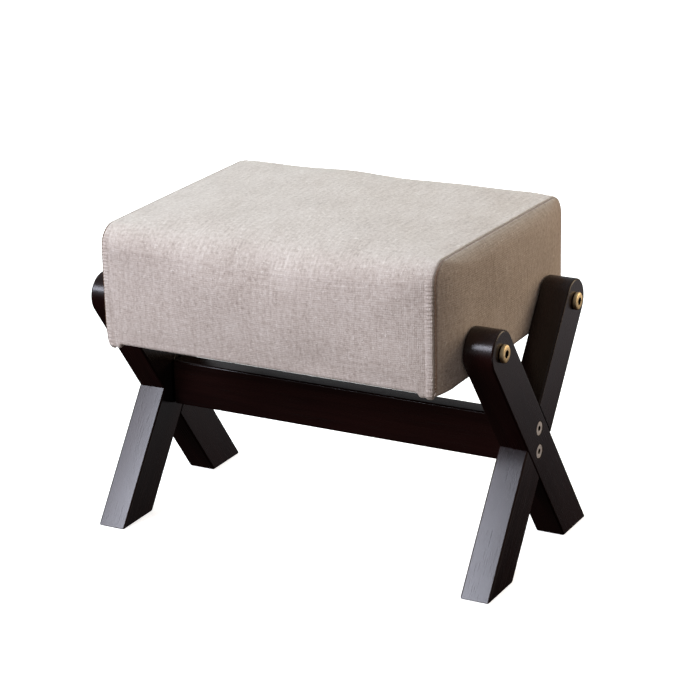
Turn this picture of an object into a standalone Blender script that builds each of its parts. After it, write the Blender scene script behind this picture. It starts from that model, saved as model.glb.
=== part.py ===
# Footstool: an upholstered seat block carried between two X-shaped end frames of dark wood.
# Metres, +Z up, +X to the right, the front of the stool towards -Y.
# The origin is on the floor, under the middle of the seat.

import math

import bmesh
import bpy
from mathutils import Matrix, Vector

# Clearance between neighbouring pieces, and between the soft layers and the cover
GAP = 0.0003
FOAM_CLEARANCE = 0.0006
# How far a cutter runs past the face that it opens
CUT_OVERSHOOT = 0.002

# Seat block, outside the fabric
SEAT_WIDTH = 0.320
SEAT_DEPTH = 0.258
SEAT_THICKNESS = 0.109
SEAT_HEIGHT = 0.288
SEAT_CROWN = 0.008
FACE_BULGE = 0.006
TOP_EDGE_RADIUS = 0.019
BOTTOM_EDGE_RADIUS = 0.003
SEAM_RADIUS = 0.025
SEAM_TOP_SHARE = 0.35
SEAM_ANGLE = math.radians(36)
SEAM_GROOVE = 0.0015

# Layers of the seat
COVER_THICKNESS = 0.0012
HEM_WIDTH = 0.022
DUST_COVER_THICKNESS = 0.0006
DUST_COVER_MARGIN = 0.008
WADDING_THICKNESS = 0.007
DECK_THICKNESS = 0.009
RAIL_THICKNESS = 0.018
RAIL_HEIGHT = 0.050
BOARD_EASE = 0.0008

# End frames
BAR_THICKNESS = 0.026
BAR_WIDTH = 0.0375
FEET_DEPTH = 0.197
BAR_EASE = 0.0015

# Stretcher between the frames
STRETCHER_HEIGHT = 0.040
STRETCHER_THICKNESS = 0.018
STRETCHER_RISE = 0.0015

# Stretcher screws, two at each crossing
STRETCHER_SCREW_SPACING = 0.020
STRETCHER_SCREW_HEAD = 0.0115
STRETCHER_SCREW_SHANK = 0.0050
STRETCHER_SCREW_LENGTH = 0.060
STRETCHER_SCREW_SOCKET = 0.0040

# Seat bolts, one through the top of each arm, and the T-nuts behind the rails
SEAT_BOLT_HEAD = 0.015
SEAT_BOLT_HEAD_HEIGHT = 0.0034
SEAT_BOLT_HEAD_BEVEL = 0.0014
SEAT_BOLT_SHANK = 0.006
SEAT_BOLT_LENGTH = 0.055
SEAT_BOLT_SOCKET = 0.0050
SEAT_BOLT_RISE = 0.025
SEAT_BOLT_INSET = 0.0573
T_NUT_FLANGE = 0.018
T_NUT_FLANGE_THICKNESS = 0.0015
T_NUT_BARREL = 0.0090
T_NUT_BARREL_LENGTH = 0.009

# Screws that join the seat rails, two at each corner
RAIL_SCREW_HEAD = 0.0075
RAIL_SCREW_SHANK = 0.0040
RAIL_SCREW_LENGTH = 0.045
RAIL_SCREW_SPACING = 0.028
RAIL_SCREW_SOCKET = 0.0025

# Facets
TURNED_STEPS = 24
ARM_END_STEPS = 16
TOP_EDGE_STEPS = 5
BOTTOM_EDGE_STEPS = 3
SEAM_STEPS = 3
SEAT_SPANS = 8
FACE_SPANS = 6
FOAM_FACE_SPANS = 3

# Levels and half sizes that follow from the driving dimensions
seat_bottom = SEAT_HEIGHT - SEAT_THICKNESS
cover_bottom = seat_bottom + DUST_COVER_THICKNESS + GAP
flat_top = SEAT_HEIGHT - SEAT_CROWN
rail_bottom = cover_bottom + COVER_THICKNESS + GAP
rail_top = rail_bottom + RAIL_HEIGHT
deck_bottom = rail_top + GAP
deck_top = deck_bottom + DECK_THICKNESS
foam_bottom = deck_top + GAP
cover_half_width = SEAT_WIDTH / 2 - GAP
cover_half_depth = SEAT_DEPTH / 2 - FACE_BULGE
wadding_half_width = cover_half_width - COVER_THICKNESS - FOAM_CLEARANCE
wadding_half_depth = cover_half_depth - COVER_THICKNESS - FOAM_CLEARANCE
rail_half_width = wadding_half_width - WADDING_THICKNESS - GAP
rail_half_depth = wadding_half_depth - WADDING_THICKNESS - GAP
side_rail_half_length = rail_half_depth - RAIL_THICKNESS - GAP

frame_inner_face = SEAT_WIDTH / 2
frame_outer_face = frame_inner_face + BAR_THICKNESS
frame_middle = frame_inner_face + BAR_THICKNESS / 2
bolt_offset = SEAT_DEPTH / 2 - SEAT_BOLT_INSET
bolt_height = seat_bottom + SEAT_BOLT_RISE
# A bar's outer edge starts at the end of its foot, and its middle line runs through its bolt.
bar_run = bolt_offset + FEET_DEPTH / 2
bar_lean = math.acos(BAR_WIDTH / 2 / math.hypot(bar_run, bolt_height)) - math.atan2(bolt_height, bar_run)
sole_length = BAR_WIDTH / math.cos(bar_lean)
crossing_height = (FEET_DEPTH - sole_length) / 2 / math.tan(bar_lean)
stretcher_middle = crossing_height + STRETCHER_RISE

SIDES = {"left": -1, "right": 1}
ENDS = {"front": -1, "rear": 1}


def clear_scene():
    for old in list(bpy.data.objects):
        bpy.data.objects.remove(old, do_unlink=True)


def new_collection(name):
    group = bpy.data.collections.new(name)
    bpy.context.scene.collection.children.link(group)
    return group


def new_material(name, colour, roughness, metallic=0.0):
    material = bpy.data.materials.new(name)
    material.use_nodes = True
    shader = material.node_tree.nodes["Principled BSDF"]
    shader.inputs["Base Color"].default_value = (*colour, 1.0)
    shader.inputs["Roughness"].default_value = roughness
    shader.inputs["Metallic"].default_value = metallic
    return material


def new_object(name, mesh, group, material=None):
    piece = bpy.data.objects.new(name, mesh)
    group.objects.link(piece)
    if material:
        mesh.materials.clear()
        mesh.materials.append(material)
    return piece


def mesh_from(bm, name):
    bmesh.ops.recalc_face_normals(bm, faces=bm.faces)
    mesh = bpy.data.meshes.new(name)
    bm.to_mesh(mesh)
    bm.free()
    return mesh


def as_cutter(piece):
    piece.hide_render = True
    piece.display_type = "WIRE"
    return piece


def ease_edges(piece, width, segments=2):
    bevel = piece.modifiers.new("Eased edges", "BEVEL")
    bevel.width = width
    bevel.segments = segments
    bevel.limit_method = "ANGLE"
    bevel.angle_limit = math.radians(30)


def cut(piece, cutter):
    boolean = piece.modifiers.new("Cut " + cutter.name, "BOOLEAN")
    boolean.operation = "DIFFERENCE"
    boolean.solver = "EXACT"
    boolean.object = cutter


def box_mesh(name, size):
    bm = bmesh.new()
    bmesh.ops.create_cube(bm, size=1.0, matrix=Matrix.Diagonal((*size, 1.0)))
    return mesh_from(bm, name)


def board(name, low, high, material, ease=BOARD_EASE):
    """A board between two corners, placed by its middle."""
    low, high = Vector(low), Vector(high)
    piece = new_object(name, box_mesh(name, high - low), parts, material)
    piece.location = (low + high) / 2
    if ease:
        ease_edges(piece, ease, 1)
    return piece


def upright_plate(name, outline, thickness, group, material=None):
    """A flat outline of (y, z) points, standing across X and as thick as asked."""
    curve = bpy.data.curves.new(name, "CURVE")
    curve.dimensions = "2D"
    curve.fill_mode = "BOTH"
    curve.extrude = thickness / 2
    spline = curve.splines.new("POLY")
    spline.points.add(len(outline) - 1)
    for point, (y, z) in zip(spline.points, outline):
        point.co = (y, z, 0.0, 1.0)
    spline.use_cyclic_u = True
    flat = bpy.data.objects.new(name, curve)
    group.objects.link(flat)
    bpy.context.view_layer.update()
    graph = bpy.context.evaluated_depsgraph_get()
    filled = bpy.data.meshes.new_from_object(flat.evaluated_get(graph))
    bpy.data.objects.remove(flat, do_unlink=True)

    bm = bmesh.new()
    bm.from_mesh(filled)
    bpy.data.meshes.remove(filled)
    bmesh.ops.remove_doubles(bm, verts=bm.verts, dist=0.00001)
    piece = new_object(name, mesh_from(bm, name), group, material)
    piece.rotation_euler = (math.radians(90), 0.0, math.radians(90))
    return piece


def turned(name, profile, group, material=None, closed=False):
    """A profile of (radius, height) points, spun about the local Z axis."""
    mesh = bpy.data.meshes.new(name)
    points = [(radius, 0.0, height) for radius, height in profile]
    edges = [(i, i + 1) for i in range(len(points) - 1)]
    if closed:
        edges.append((len(points) - 1, 0))
    mesh.from_pydata(points, edges, [])
    piece = new_object(name, mesh, group, material)
    spin = piece.modifiers.new("Turned", "SCREW")
    spin.steps = TURNED_STEPS
    spin.render_steps = TURNED_STEPS
    spin.use_merge_vertices = True
    spin.merge_threshold = 0.00001
    spin.use_smooth_shade = True
    return piece


def hex_cutter(name, across_flats, depth):
    """A hexagonal socket whose mouth is at the local origin, running down -Z."""
    radius = across_flats / 2 / math.cos(math.radians(30))
    bm = bmesh.new()
    bmesh.ops.create_cone(
        bm,
        cap_ends=True,
        segments=6,
        radius1=radius,
        radius2=radius,
        depth=depth + CUT_OVERSHOOT,
        matrix=Matrix.Translation((0.0, 0.0, (CUT_OVERSHOOT - depth) / 2)),
    )
    return as_cutter(new_object(name, mesh_from(bm, name), cutters))


def facing(direction):
    """The rotation that turns local +Z to a world direction."""
    return Vector(direction).to_track_quat("Z", "Y").to_euler()


def place(piece, location, direction):
    piece.location = location
    piece.rotation_euler = facing(direction)
    return piece


# End frames

def bar_outline(slope):
    """The (y, z) outline of a bar whose arm leans towards slope * Y, from its foot to its round end."""
    along = Vector((slope * math.sin(bar_lean), math.cos(bar_lean)))
    across = Vector((math.cos(bar_lean), -slope * math.sin(bar_lean)))
    crossing = Vector((0.0, crossing_height))
    bolt = Vector((slope * bolt_offset, bolt_height))

    def sole_corner(offset):
        edge = crossing + offset * across
        return edge - along * edge.y / along.y

    points = [sole_corner(-BAR_WIDTH / 2)]
    for step in range(ARM_END_STEPS + 1):
        angle = math.pi * step / ARM_END_STEPS
        swing = math.sin(angle) * along - math.cos(angle) * across
        points.append(bolt + BAR_WIDTH / 2 * swing)
    points.append(sole_corner(BAR_WIDTH / 2))
    return points


def lap_cutter(name, slope, side, outer):
    """The half-lap notch for the other bar: its width, and half the thickness on its outer or inner face."""
    depth = BAR_THICKNESS / 2 + GAP / 2
    length = 3 * BAR_WIDTH
    size = (depth + CUT_OVERSHOOT, BAR_WIDTH + 2 * GAP, length)
    cutter = as_cutter(new_object(name, box_mesh(name, size), cutters))
    from_middle = (BAR_THICKNESS - depth + CUT_OVERSHOOT) / 2
    middle = frame_middle + (from_middle if outer else -from_middle)
    cutter.location = (side * middle, 0.0, crossing_height)
    cutter.rotation_euler = (slope * bar_lean, 0.0, 0.0)
    return cutter


def leg(side_name, side, end_name, end):
    """A bar with its foot at one end of the stool and its arm at the other."""
    slope = -end
    name = f"{side_name}_{end_name}_leg"
    piece = upright_plate(name, bar_outline(slope), BAR_THICKNESS, parts, wood)
    piece.location = (side * frame_middle, 0.0, 0.0)
    ease_edges(piece, BAR_EASE)
    # The rear leg runs unbroken over the outer face, and the front leg over the inner one.
    cut(piece, lap_cutter(name + "_lap", slope, side, outer=end_name == "front"))
    hole = SEAT_BOLT_SHANK / 2 + GAP
    bolt_hole = side_drill(name + "_bolt_hole", hole, side, slope * bolt_offset, bolt_height)
    cut(piece, bolt_hole)
    for level, height in stretcher_screw_heights().items():
        cut(piece, countersunk_drill(f"{name}_{level}_screw_hole", side, height))
    return piece


def side_drill(name, radius, side, y, z, through=None):
    """A hole along X, right through the frame and the side of the seat."""
    inner, outer = through or (rail_half_width - 2 * RAIL_THICKNESS, frame_outer_face + CUT_OVERSHOOT)
    bm = bmesh.new()
    bmesh.ops.create_cone(
        bm,
        cap_ends=True,
        segments=TURNED_STEPS,
        radius1=radius,
        radius2=radius,
        depth=outer - inner,
    )
    cutter = as_cutter(new_object(name, mesh_from(bm, name), cutters))
    return place(cutter, (side * (inner + outer) / 2, y, z), (side, 0.0, 0.0))


def countersunk_drill(name, side, height):
    """The hole of a stretcher screw: its shank, and the seat of its head, each with clearance."""
    head = STRETCHER_SCREW_HEAD / 2 + GAP
    shank = STRETCHER_SCREW_SHANK / 2 + GAP
    profile = [
        (0.0, CUT_OVERSHOOT),
        (head, CUT_OVERSHOOT),
        (head, -GAP),
        (shank, -GAP - (head - shank)),
        (shank, -STRETCHER_SCREW_LENGTH - GAP),
        (0.0, -STRETCHER_SCREW_LENGTH - GAP),
    ]
    cutter = as_cutter(turned(name, profile, cutters))
    return place(cutter, (side * frame_outer_face, 0.0, height), (side, 0.0, 0.0))


def stretcher_screw_heights():
    half = STRETCHER_SCREW_SPACING / 2
    return {"upper": stretcher_middle + half, "lower": stretcher_middle - half}


def stretcher():
    half_length = frame_inner_face - GAP
    half = Vector((half_length, STRETCHER_THICKNESS / 2, STRETCHER_HEIGHT / 2))
    middle = Vector((0.0, 0.0, stretcher_middle))
    piece = board("stretcher", middle - half, middle + half, wood, ease=None)
    ease_edges(piece, BAR_EASE)
    for side_name, side in SIDES.items():
        for level, height in stretcher_screw_heights().items():
            cut(piece, countersunk_drill(f"stretcher_{side_name}_{level}_pilot", side, height))
    return piece


# Fasteners

def countersunk_screw(name, head, shank, length, socket, location, direction, material):
    """A flat-headed screw whose head lies just under the face at its location."""
    head_radius = head / 2
    shank_radius = shank / 2
    cone = head_radius - shank_radius
    rim = 0.0003
    tip = shank_radius
    profile = [
        (0.0, 0.0),
        (head_radius, 0.0),
        (head_radius, -rim),
        (shank_radius, -rim - cone),
        (shank_radius, tip - length),
        (shank_radius / 3, -length),
        (0.0, -length),
    ]
    sunk = Vector(location) - GAP * Vector(direction)
    piece = place(turned(name, profile, parts, material), sunk, direction)
    recess = hex_cutter(name + "_socket", socket, cone * 0.8)
    cut(piece, place(recess, sunk, direction))
    return piece


def seat_bolt(name, side, y):
    """A brass connector bolt with a flat, bevelled head that stands on the arm."""
    head_radius = SEAT_BOLT_HEAD / 2
    shank_radius = SEAT_BOLT_SHANK / 2
    rim = 0.0004
    profile = [
        (0.0, SEAT_BOLT_HEAD_HEIGHT),
        (head_radius - SEAT_BOLT_HEAD_BEVEL, SEAT_BOLT_HEAD_HEIGHT),
        (head_radius - SEAT_BOLT_HEAD_BEVEL / 3, SEAT_BOLT_HEAD_HEIGHT - SEAT_BOLT_HEAD_BEVEL / 2.5),
        (head_radius, SEAT_BOLT_HEAD_HEIGHT - SEAT_BOLT_HEAD_BEVEL),
        (head_radius, rim),
        (head_radius - rim, 0.0),
        (shank_radius, 0.0),
        (shank_radius, shank_radius / 3 - SEAT_BOLT_LENGTH),
        (shank_radius * 2 / 3, -SEAT_BOLT_LENGTH),
        (0.0, -SEAT_BOLT_LENGTH),
    ]
    seat = (side * (frame_outer_face + GAP), y, bolt_height)
    piece = place(turned(name, profile, parts, brass), seat, (side, 0.0, 0.0))
    top = (side * (frame_outer_face + GAP + SEAT_BOLT_HEAD_HEIGHT), y, bolt_height)
    recess = hex_cutter(name + "_socket", SEAT_BOLT_SOCKET, SEAT_BOLT_HEAD_HEIGHT)
    cut(piece, place(recess, top, (side, 0.0, 0.0)))
    return piece


def t_nut(name, side, y):
    """A flanged nut pressed into the rail's inner face, with its flange inside the seat."""
    bore = SEAT_BOLT_SHANK / 2 + GAP
    flange = T_NUT_FLANGE / 2
    barrel = T_NUT_BARREL / 2
    profile = [
        (bore, T_NUT_BARREL_LENGTH),
        (barrel, T_NUT_BARREL_LENGTH),
        (barrel, 0.0),
        (flange, 0.0),
        (flange, -T_NUT_FLANGE_THICKNESS),
        (bore, -T_NUT_FLANGE_THICKNESS),
    ]
    inner_face = rail_half_width - RAIL_THICKNESS
    piece = turned(name, profile, parts, steel, closed=True)
    return place(piece, (side * (inner_face - GAP), y, bolt_height), (side, 0.0, 0.0))


# Seat frame

def cross_rail(end_name, end):
    outer = end * rail_half_depth
    inner = outer - end * RAIL_THICKNESS
    low = (-rail_half_width, min(outer, inner), rail_bottom)
    high = (rail_half_width, max(outer, inner), rail_top)
    rail = board(f"{end_name}_rail", low, high, pine)
    for side_name, side in SIDES.items():
        for level, height in rail_screw_heights().items():
            cut(rail, rail_drill(f"{end_name}_{side_name}_{level}_screw_hole", side, end, height))
    return rail


def side_rail(side_name, side):
    outer = side * rail_half_width
    inner = outer - side * RAIL_THICKNESS
    low = (min(outer, inner), -side_rail_half_length, rail_bottom)
    high = (max(outer, inner), side_rail_half_length, rail_top)
    rail = board(f"{side_name}_rail", low, high, pine)
    for end_name, end in ENDS.items():
        for level, height in rail_screw_heights().items():
            cut(rail, rail_drill(f"{side_name}_{end_name}_{level}_pilot", side, end, height))
        y = end * bolt_offset
        shank = SEAT_BOLT_SHANK / 2 + GAP
        cut(rail, side_drill(f"{side_name}_{end_name}_rail_hole", shank, side, y, bolt_height))
        face = rail_half_width - RAIL_THICKNESS
        pocket = (face - RAIL_THICKNESS, face + T_NUT_BARREL_LENGTH)
        barrel = T_NUT_BARREL / 2 + GAP
        cut(rail, side_drill(f"{side_name}_{end_name}_nut_hole", barrel, side, y, bolt_height, pocket))
    return rail


def rail_screw_heights():
    middle = rail_bottom + RAIL_HEIGHT / 2
    half = RAIL_SCREW_SPACING / 2
    return {"upper": middle + half, "lower": middle - half}


def rail_screw_place(side, end, height):
    return (side * (rail_half_width - RAIL_THICKNESS / 2), end * rail_half_depth, height)


def rail_drill(name, side, end, height):
    head = RAIL_SCREW_HEAD / 2 + GAP
    shank = RAIL_SCREW_SHANK / 2 + GAP
    profile = [
        (0.0, CUT_OVERSHOOT),
        (head, CUT_OVERSHOOT),
        (head, -GAP),
        (shank, -GAP - (head - shank)),
        (shank, -RAIL_SCREW_LENGTH - 2 * GAP),
        (0.0, -RAIL_SCREW_LENGTH - 2 * GAP),
    ]
    cutter = as_cutter(turned(name, profile, cutters))
    return place(cutter, rail_screw_place(side, end, height), (0.0, end, 0.0))


def seat_frame():
    for end_name, end in ENDS.items():
        cross_rail(end_name, end)
    for side_name, side in SIDES.items():
        side_rail(side_name, side)
        for end_name, end in ENDS.items():
            for level, height in rail_screw_heights().items():
                countersunk_screw(
                    f"{side_name}_{end_name}_{level}_rail_screw",
                    RAIL_SCREW_HEAD,
                    RAIL_SCREW_SHANK,
                    RAIL_SCREW_LENGTH,
                    RAIL_SCREW_SOCKET,
                    rail_screw_place(side, end, height),
                    (0.0, end, 0.0),
                    steel,
                )
    low = (-rail_half_width, -rail_half_depth, deck_bottom)
    high = (rail_half_width, rail_half_depth, deck_top)
    board("seat_deck", low, high, plywood)


# Padding and cover

def arc(centre, radius, start, end, steps):
    """Points (y, z) on an arc, with its angles in degrees from +Y towards +Z."""
    points = []
    for step in range(steps + 1):
        angle = math.radians(start + (end - start) * step / steps)
        points.append((centre[0] + radius * math.cos(angle), centre[1] + radius * math.sin(angle)))
    return points


def evenly(start, end, spans):
    """The points between two ends, without the ends themselves."""
    points = []
    for step in range(1, spans):
        share = step / spans
        points.append(tuple(a + (b - a) * share for a, b in zip(start, end)))
    return points


def arch_size(inset, draw):
    """Half depth, top and corner radius of the seat's arch: inset by its layers, drawn in by a seam."""
    shrink = inset + SEAM_TOP_SHARE * draw
    return (cover_half_depth - inset - draw, flat_top - shrink, TOP_EDGE_RADIUS - shrink)


def seat_arch(inset, draw, floor, face_spans):
    """The seat's (y, z) outline from the rear, over the top, down the front: flat sided, before it swells."""
    half, top, radius = arch_size(inset, draw)
    rear = arc((half - radius, top - radius), radius, 0, 90, TOP_EDGE_STEPS)
    front = [(-y, z) for y, z in reversed(rear)]
    points = evenly((half, floor), rear[0], face_spans) + rear
    points += evenly(rear[-1], front[0], SEAT_SPANS) + front
    points += evenly(front[-1], (-half, floor), face_spans)
    return [(half, floor)] + points + [(-half, floor)]


def cover_outline(draw):
    """The arch with its lower edges turned in, and its hems under the rails."""
    radius = BOTTOM_EDGE_RADIUS
    half = cover_half_depth - draw
    rear = arc((half - radius, cover_bottom + radius), radius, -90, 0, BOTTOM_EDGE_STEPS)
    hem = (cover_half_depth - HEM_WIDTH, cover_bottom)
    front = [(-y, z) for y, z in reversed(rear)]
    arch = seat_arch(0.0, draw, cover_bottom + radius, FACE_SPANS)
    return [hem] + rear[:-1] + arch + front[1:] + [(-hem[0], hem[1])]


def swell(x, y, z, inset, draw):
    """Moves a point of the flat-sided seat outwards: the crown on top, and the belly of front and back."""
    half, top, radius = arch_size(inset, draw)
    middle = (flat_top + cover_bottom) / 2
    across = max(0.0, 1 - (x / cover_half_width) ** 2)
    deep = max(0.0, 1 - (y / cover_half_depth) ** 2)
    tall = max(0.0, 1 - ((z - middle) / (flat_top - middle)) ** 2)
    on_top = min(1.0, max(0.0, (z - top + radius) / radius))
    on_face = min(1.0, max(0.0, (abs(y) - half + radius) / radius))
    lift = SEAT_CROWN * across * deep * on_top
    belly = FACE_BULGE * across * tall * on_face
    return (x, y + math.copysign(belly, y), z + lift)


def seam_point(inset, angle):
    """A place on the rounding between a face and a side as (x, how far the outline draws in)."""
    radius = SEAM_RADIUS - inset
    return (cover_half_width - SEAM_RADIUS + radius * math.sin(angle), radius * (1 - math.cos(angle)))


def seat_stations(inset, last_angle):
    """Places along X as (x, how far the outline draws in): straight, then round towards each side."""
    straight = cover_half_width - SEAM_RADIUS
    rounded = [seam_point(inset, last_angle * step / SEAM_STEPS) for step in range(1, SEAM_STEPS + 1)]
    flat = [(straight * (2 * step / SEAT_SPANS - 1), 0.0) for step in range(SEAT_SPANS + 1)]
    return [(-x, draw) for x, draw in reversed(rounded)] + flat + rounded


def soften(mesh):
    mesh.shade_smooth()
    mesh.set_sharp_from_angle(angle=math.radians(50))


def add_thickness(panel):
    shell = panel.modifiers.new("Cloth thickness", "SOLIDIFY")
    shell.thickness = COVER_THICKNESS
    shell.offset = -1.0
    shell.use_even_offset = True


def lofted(name, sections, closed, material):
    """Faces between neighbouring sections of matching points. A closed loft gets its two end faces."""
    bm = bmesh.new()
    rows = [[bm.verts.new(point) for point in section] for section in sections]
    count = len(rows[0])
    spans = count if closed else count - 1
    for here, there in zip(rows, rows[1:]):
        for i in range(spans):
            j = (i + 1) % count
            bm.faces.new((here[i], here[j], there[j], there[i]))
    if closed:
        bm.faces.new(rows[0])
        bm.faces.new(rows[-1])
    mesh = mesh_from(bm, name)
    soften(mesh)
    return new_object(name, mesh, parts, material)


def main_cover_panel():
    """One length of fabric over the front, top and back, with a hem under each cross rail."""
    sections = []
    for x, draw in seat_stations(0.0, SEAM_ANGLE):
        sections.append([swell(x, y, z, 0.0, draw) for y, z in cover_outline(draw)])
    add_thickness(lofted("main_cover_panel", sections, False, fabric))


def side_cover_panel(side_name, side):
    """The side of the cover, from its seam round onto the flat, with a hem under the side rail."""
    first_angle = SEAM_ANGLE + SEAM_GROOVE / SEAM_RADIUS
    rings = []
    for step in range(SEAM_STEPS):
        angle = first_angle + (math.radians(90) - first_angle) * step / (SEAM_STEPS - 1)
        x, draw = seam_point(0.0, angle)
        rings.append([swell(side * x, y, z, 0.0, draw) for y, z in cover_outline(draw)[1:-1]])
    name = f"{side_name}_cover_panel"
    bm = bmesh.new()
    rows = [[bm.verts.new(point) for point in ring] for ring in rings]
    for here, there in zip(rows, rows[1:]):
        for i in range(len(here) - 1):
            bm.faces.new((here[i], here[i + 1], there[i + 1], there[i]))
    flat = rows[-1]
    top = max(corner.co.z for corner in flat)
    rungs = [(rear, front) for rear, front in zip(flat, reversed(flat)) if rear.co.z < top - GAP]
    rungs = rungs[: len(rungs) // 2]
    hem_end = cover_half_depth - HEM_WIDTH - GAP
    for corner in rungs[0]:
        corner.co.y = math.copysign(min(abs(corner.co.y), hem_end), corner.co.y)
    hem = [bm.verts.new(corner.co - Vector((side * HEM_WIDTH, 0.0, 0.0))) for corner in rungs[0]]
    ladder = [hem] + rungs
    for (rear, front), (next_rear, next_front) in zip(ladder, ladder[1:]):
        bm.faces.new((rear, front, next_front, next_rear))
    bm.faces.new(flat[len(rungs) - 1 : len(flat) - len(rungs) + 1])
    mesh = mesh_from(bm, name)
    soften(mesh)
    panel = new_object(name, mesh, parts, fabric)
    add_thickness(panel)
    for end_name, end in ENDS.items():
        hole = SEAT_BOLT_SHANK / 2 + GAP
        cut(panel, side_drill(f"{name}_{end_name}_hole", hole, side, end * bolt_offset, bolt_height))
    return panel


def foam_pad():
    """The foam block on the deck, filling the cover's arch."""
    inset = COVER_THICKNESS + FOAM_CLEARANCE
    sections = []
    for x, draw in seat_stations(inset, math.radians(90)):
        outline = seat_arch(inset, draw, foam_bottom, FOAM_FACE_SPANS)
        sections.append([swell(x, y, z, inset, draw) for y, z in outline])
    return lofted("foam_pad", sections, True, foam)


def end_wadding(end_name, end):
    """Thin foam over a cross rail, full in the middle like the face of the cover."""
    low = cover_bottom + BOTTOM_EDGE_RADIUS
    outer = end * wadding_half_depth
    inner = end * (rail_half_depth + GAP)
    column = [(outer, low)] + evenly((outer, low), (outer, deck_top), FACE_SPANS) + [(outer, deck_top)]
    reach = cover_half_width - SEAM_RADIUS
    sections = []
    for step in range(SEAT_SPANS + 1):
        x = reach * (2 * step / SEAT_SPANS - 1)
        face = [swell(x, y, z, COVER_THICKNESS + FOAM_CLEARANCE, 0.0) for y, z in column]
        sections.append(face + [(x, inner, deck_top), (x, inner, low)])
    return lofted(f"{end_name}_wadding", sections, True, foam)


def side_wadding(side_name, side):
    """Thin foam over a side rail, between the rounded corners."""
    outer = side * wadding_half_width
    inner = outer - side * WADDING_THICKNESS
    half_length = cover_half_depth - SEAM_RADIUS
    low = (min(outer, inner), -half_length, cover_bottom + BOTTOM_EDGE_RADIUS)
    high = (max(outer, inner), half_length, deck_top)
    strip = board(f"{side_name}_wadding", low, high, foam, ease=None)
    for end_name, end in ENDS.items():
        hole = SEAT_BOLT_SHANK / 2 + GAP
        name = f"{side_name}_{end_name}_wadding_hole"
        cut(strip, side_drill(name, hole, side, end * bolt_offset, bolt_height))
    return strip


def dust_cover():
    """The thin sheet that closes the seat from below and hides the hems."""
    half_width = cover_half_width - DUST_COVER_MARGIN
    half_depth = cover_half_depth - DUST_COVER_MARGIN
    low = (-half_width, -half_depth, seat_bottom)
    high = (half_width, half_depth, seat_bottom + DUST_COVER_THICKNESS)
    return board("dust_cover", low, high, black_cloth, ease=None)


clear_scene()
parts = new_collection("Footstool")
cutters = new_collection("Footstool cutters")

wood = new_material("Espresso lacquered wood", (0.020, 0.011, 0.010), 0.35)
pine = new_material("Pine", (0.62, 0.42, 0.22), 0.70)
plywood = new_material("Plywood", (0.55, 0.38, 0.21), 0.75)
fabric = new_material("Beige woven fabric", (0.50, 0.43, 0.37), 0.90)
foam = new_material("Foam", (0.85, 0.78, 0.55), 0.95)
black_cloth = new_material("Black dust cloth", (0.015, 0.015, 0.016), 0.95)
brass = new_material("Brass", (0.72, 0.52, 0.22), 0.28, 1.0)
steel = new_material("Zinc plated steel", (0.62, 0.62, 0.64), 0.35, 1.0)

stretcher()
for side_name, side in SIDES.items():
    for end_name, end in ENDS.items():
        leg(side_name, side, end_name, end)
        seat_bolt(f"{side_name}_{end_name}_seat_bolt", side, end * bolt_offset)
        t_nut(f"{side_name}_{end_name}_t_nut", side, end * bolt_offset)
    for level, height in stretcher_screw_heights().items():
        countersunk_screw(
            f"{side_name}_{level}_stretcher_screw",
            STRETCHER_SCREW_HEAD,
            STRETCHER_SCREW_SHANK,
            STRETCHER_SCREW_LENGTH,
            STRETCHER_SCREW_SOCKET,
            (side * frame_outer_face, 0.0, height),
            (side, 0.0, 0.0),
            steel,
        )
    side_wadding(side_name, side)
    side_cover_panel(side_name, side)
for end_name, end in ENDS.items():
    end_wadding(end_name, end)
seat_frame()
foam_pad()
main_cover_panel()
dust_cover()
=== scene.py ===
# Upholstered footstool on two crossed end frames: the visual model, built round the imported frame.
import math

import bmesh
import bpy
import numpy as np
from mathutils import Matrix, Vector
from mathutils.geometry import delaunay_2d_cdt
from mathutils.kdtree import KDTree


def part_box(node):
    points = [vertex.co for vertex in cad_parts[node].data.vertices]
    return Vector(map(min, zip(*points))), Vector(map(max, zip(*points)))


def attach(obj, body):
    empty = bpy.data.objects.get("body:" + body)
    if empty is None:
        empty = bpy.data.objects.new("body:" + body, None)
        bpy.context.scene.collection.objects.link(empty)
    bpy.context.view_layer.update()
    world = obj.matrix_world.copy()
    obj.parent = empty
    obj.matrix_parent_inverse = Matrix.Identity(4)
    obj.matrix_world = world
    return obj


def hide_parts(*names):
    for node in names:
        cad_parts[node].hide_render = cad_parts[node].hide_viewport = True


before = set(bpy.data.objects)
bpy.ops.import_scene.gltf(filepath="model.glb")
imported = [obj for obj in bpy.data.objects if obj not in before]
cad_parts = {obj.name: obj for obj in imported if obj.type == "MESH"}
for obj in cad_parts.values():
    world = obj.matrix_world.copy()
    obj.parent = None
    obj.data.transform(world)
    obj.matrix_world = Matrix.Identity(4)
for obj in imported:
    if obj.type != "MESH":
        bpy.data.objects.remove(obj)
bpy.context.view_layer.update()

scene = bpy.context.scene
scene.view_settings.view_transform = "Standard"
sides = {"left": -1, "right": 1}
ends = {"front": -1, "rear": 1}


def linked(name, data):
    piece = bpy.data.objects.new(name, data)
    scene.collection.objects.link(piece)
    return piece


def modify(piece, name, kind, **settings):
    made = piece.modifiers.new(name, kind)
    for key, value in settings.items():
        setattr(made, key, value)
    return made


# Camera, at the angle of the photograph

camera = {
    "place": (0.94566, -1.71739, 0.84927), "turn": -28.535, "down": 19.47, "roll": -1.293, "lens": 126.87,
}


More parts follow.
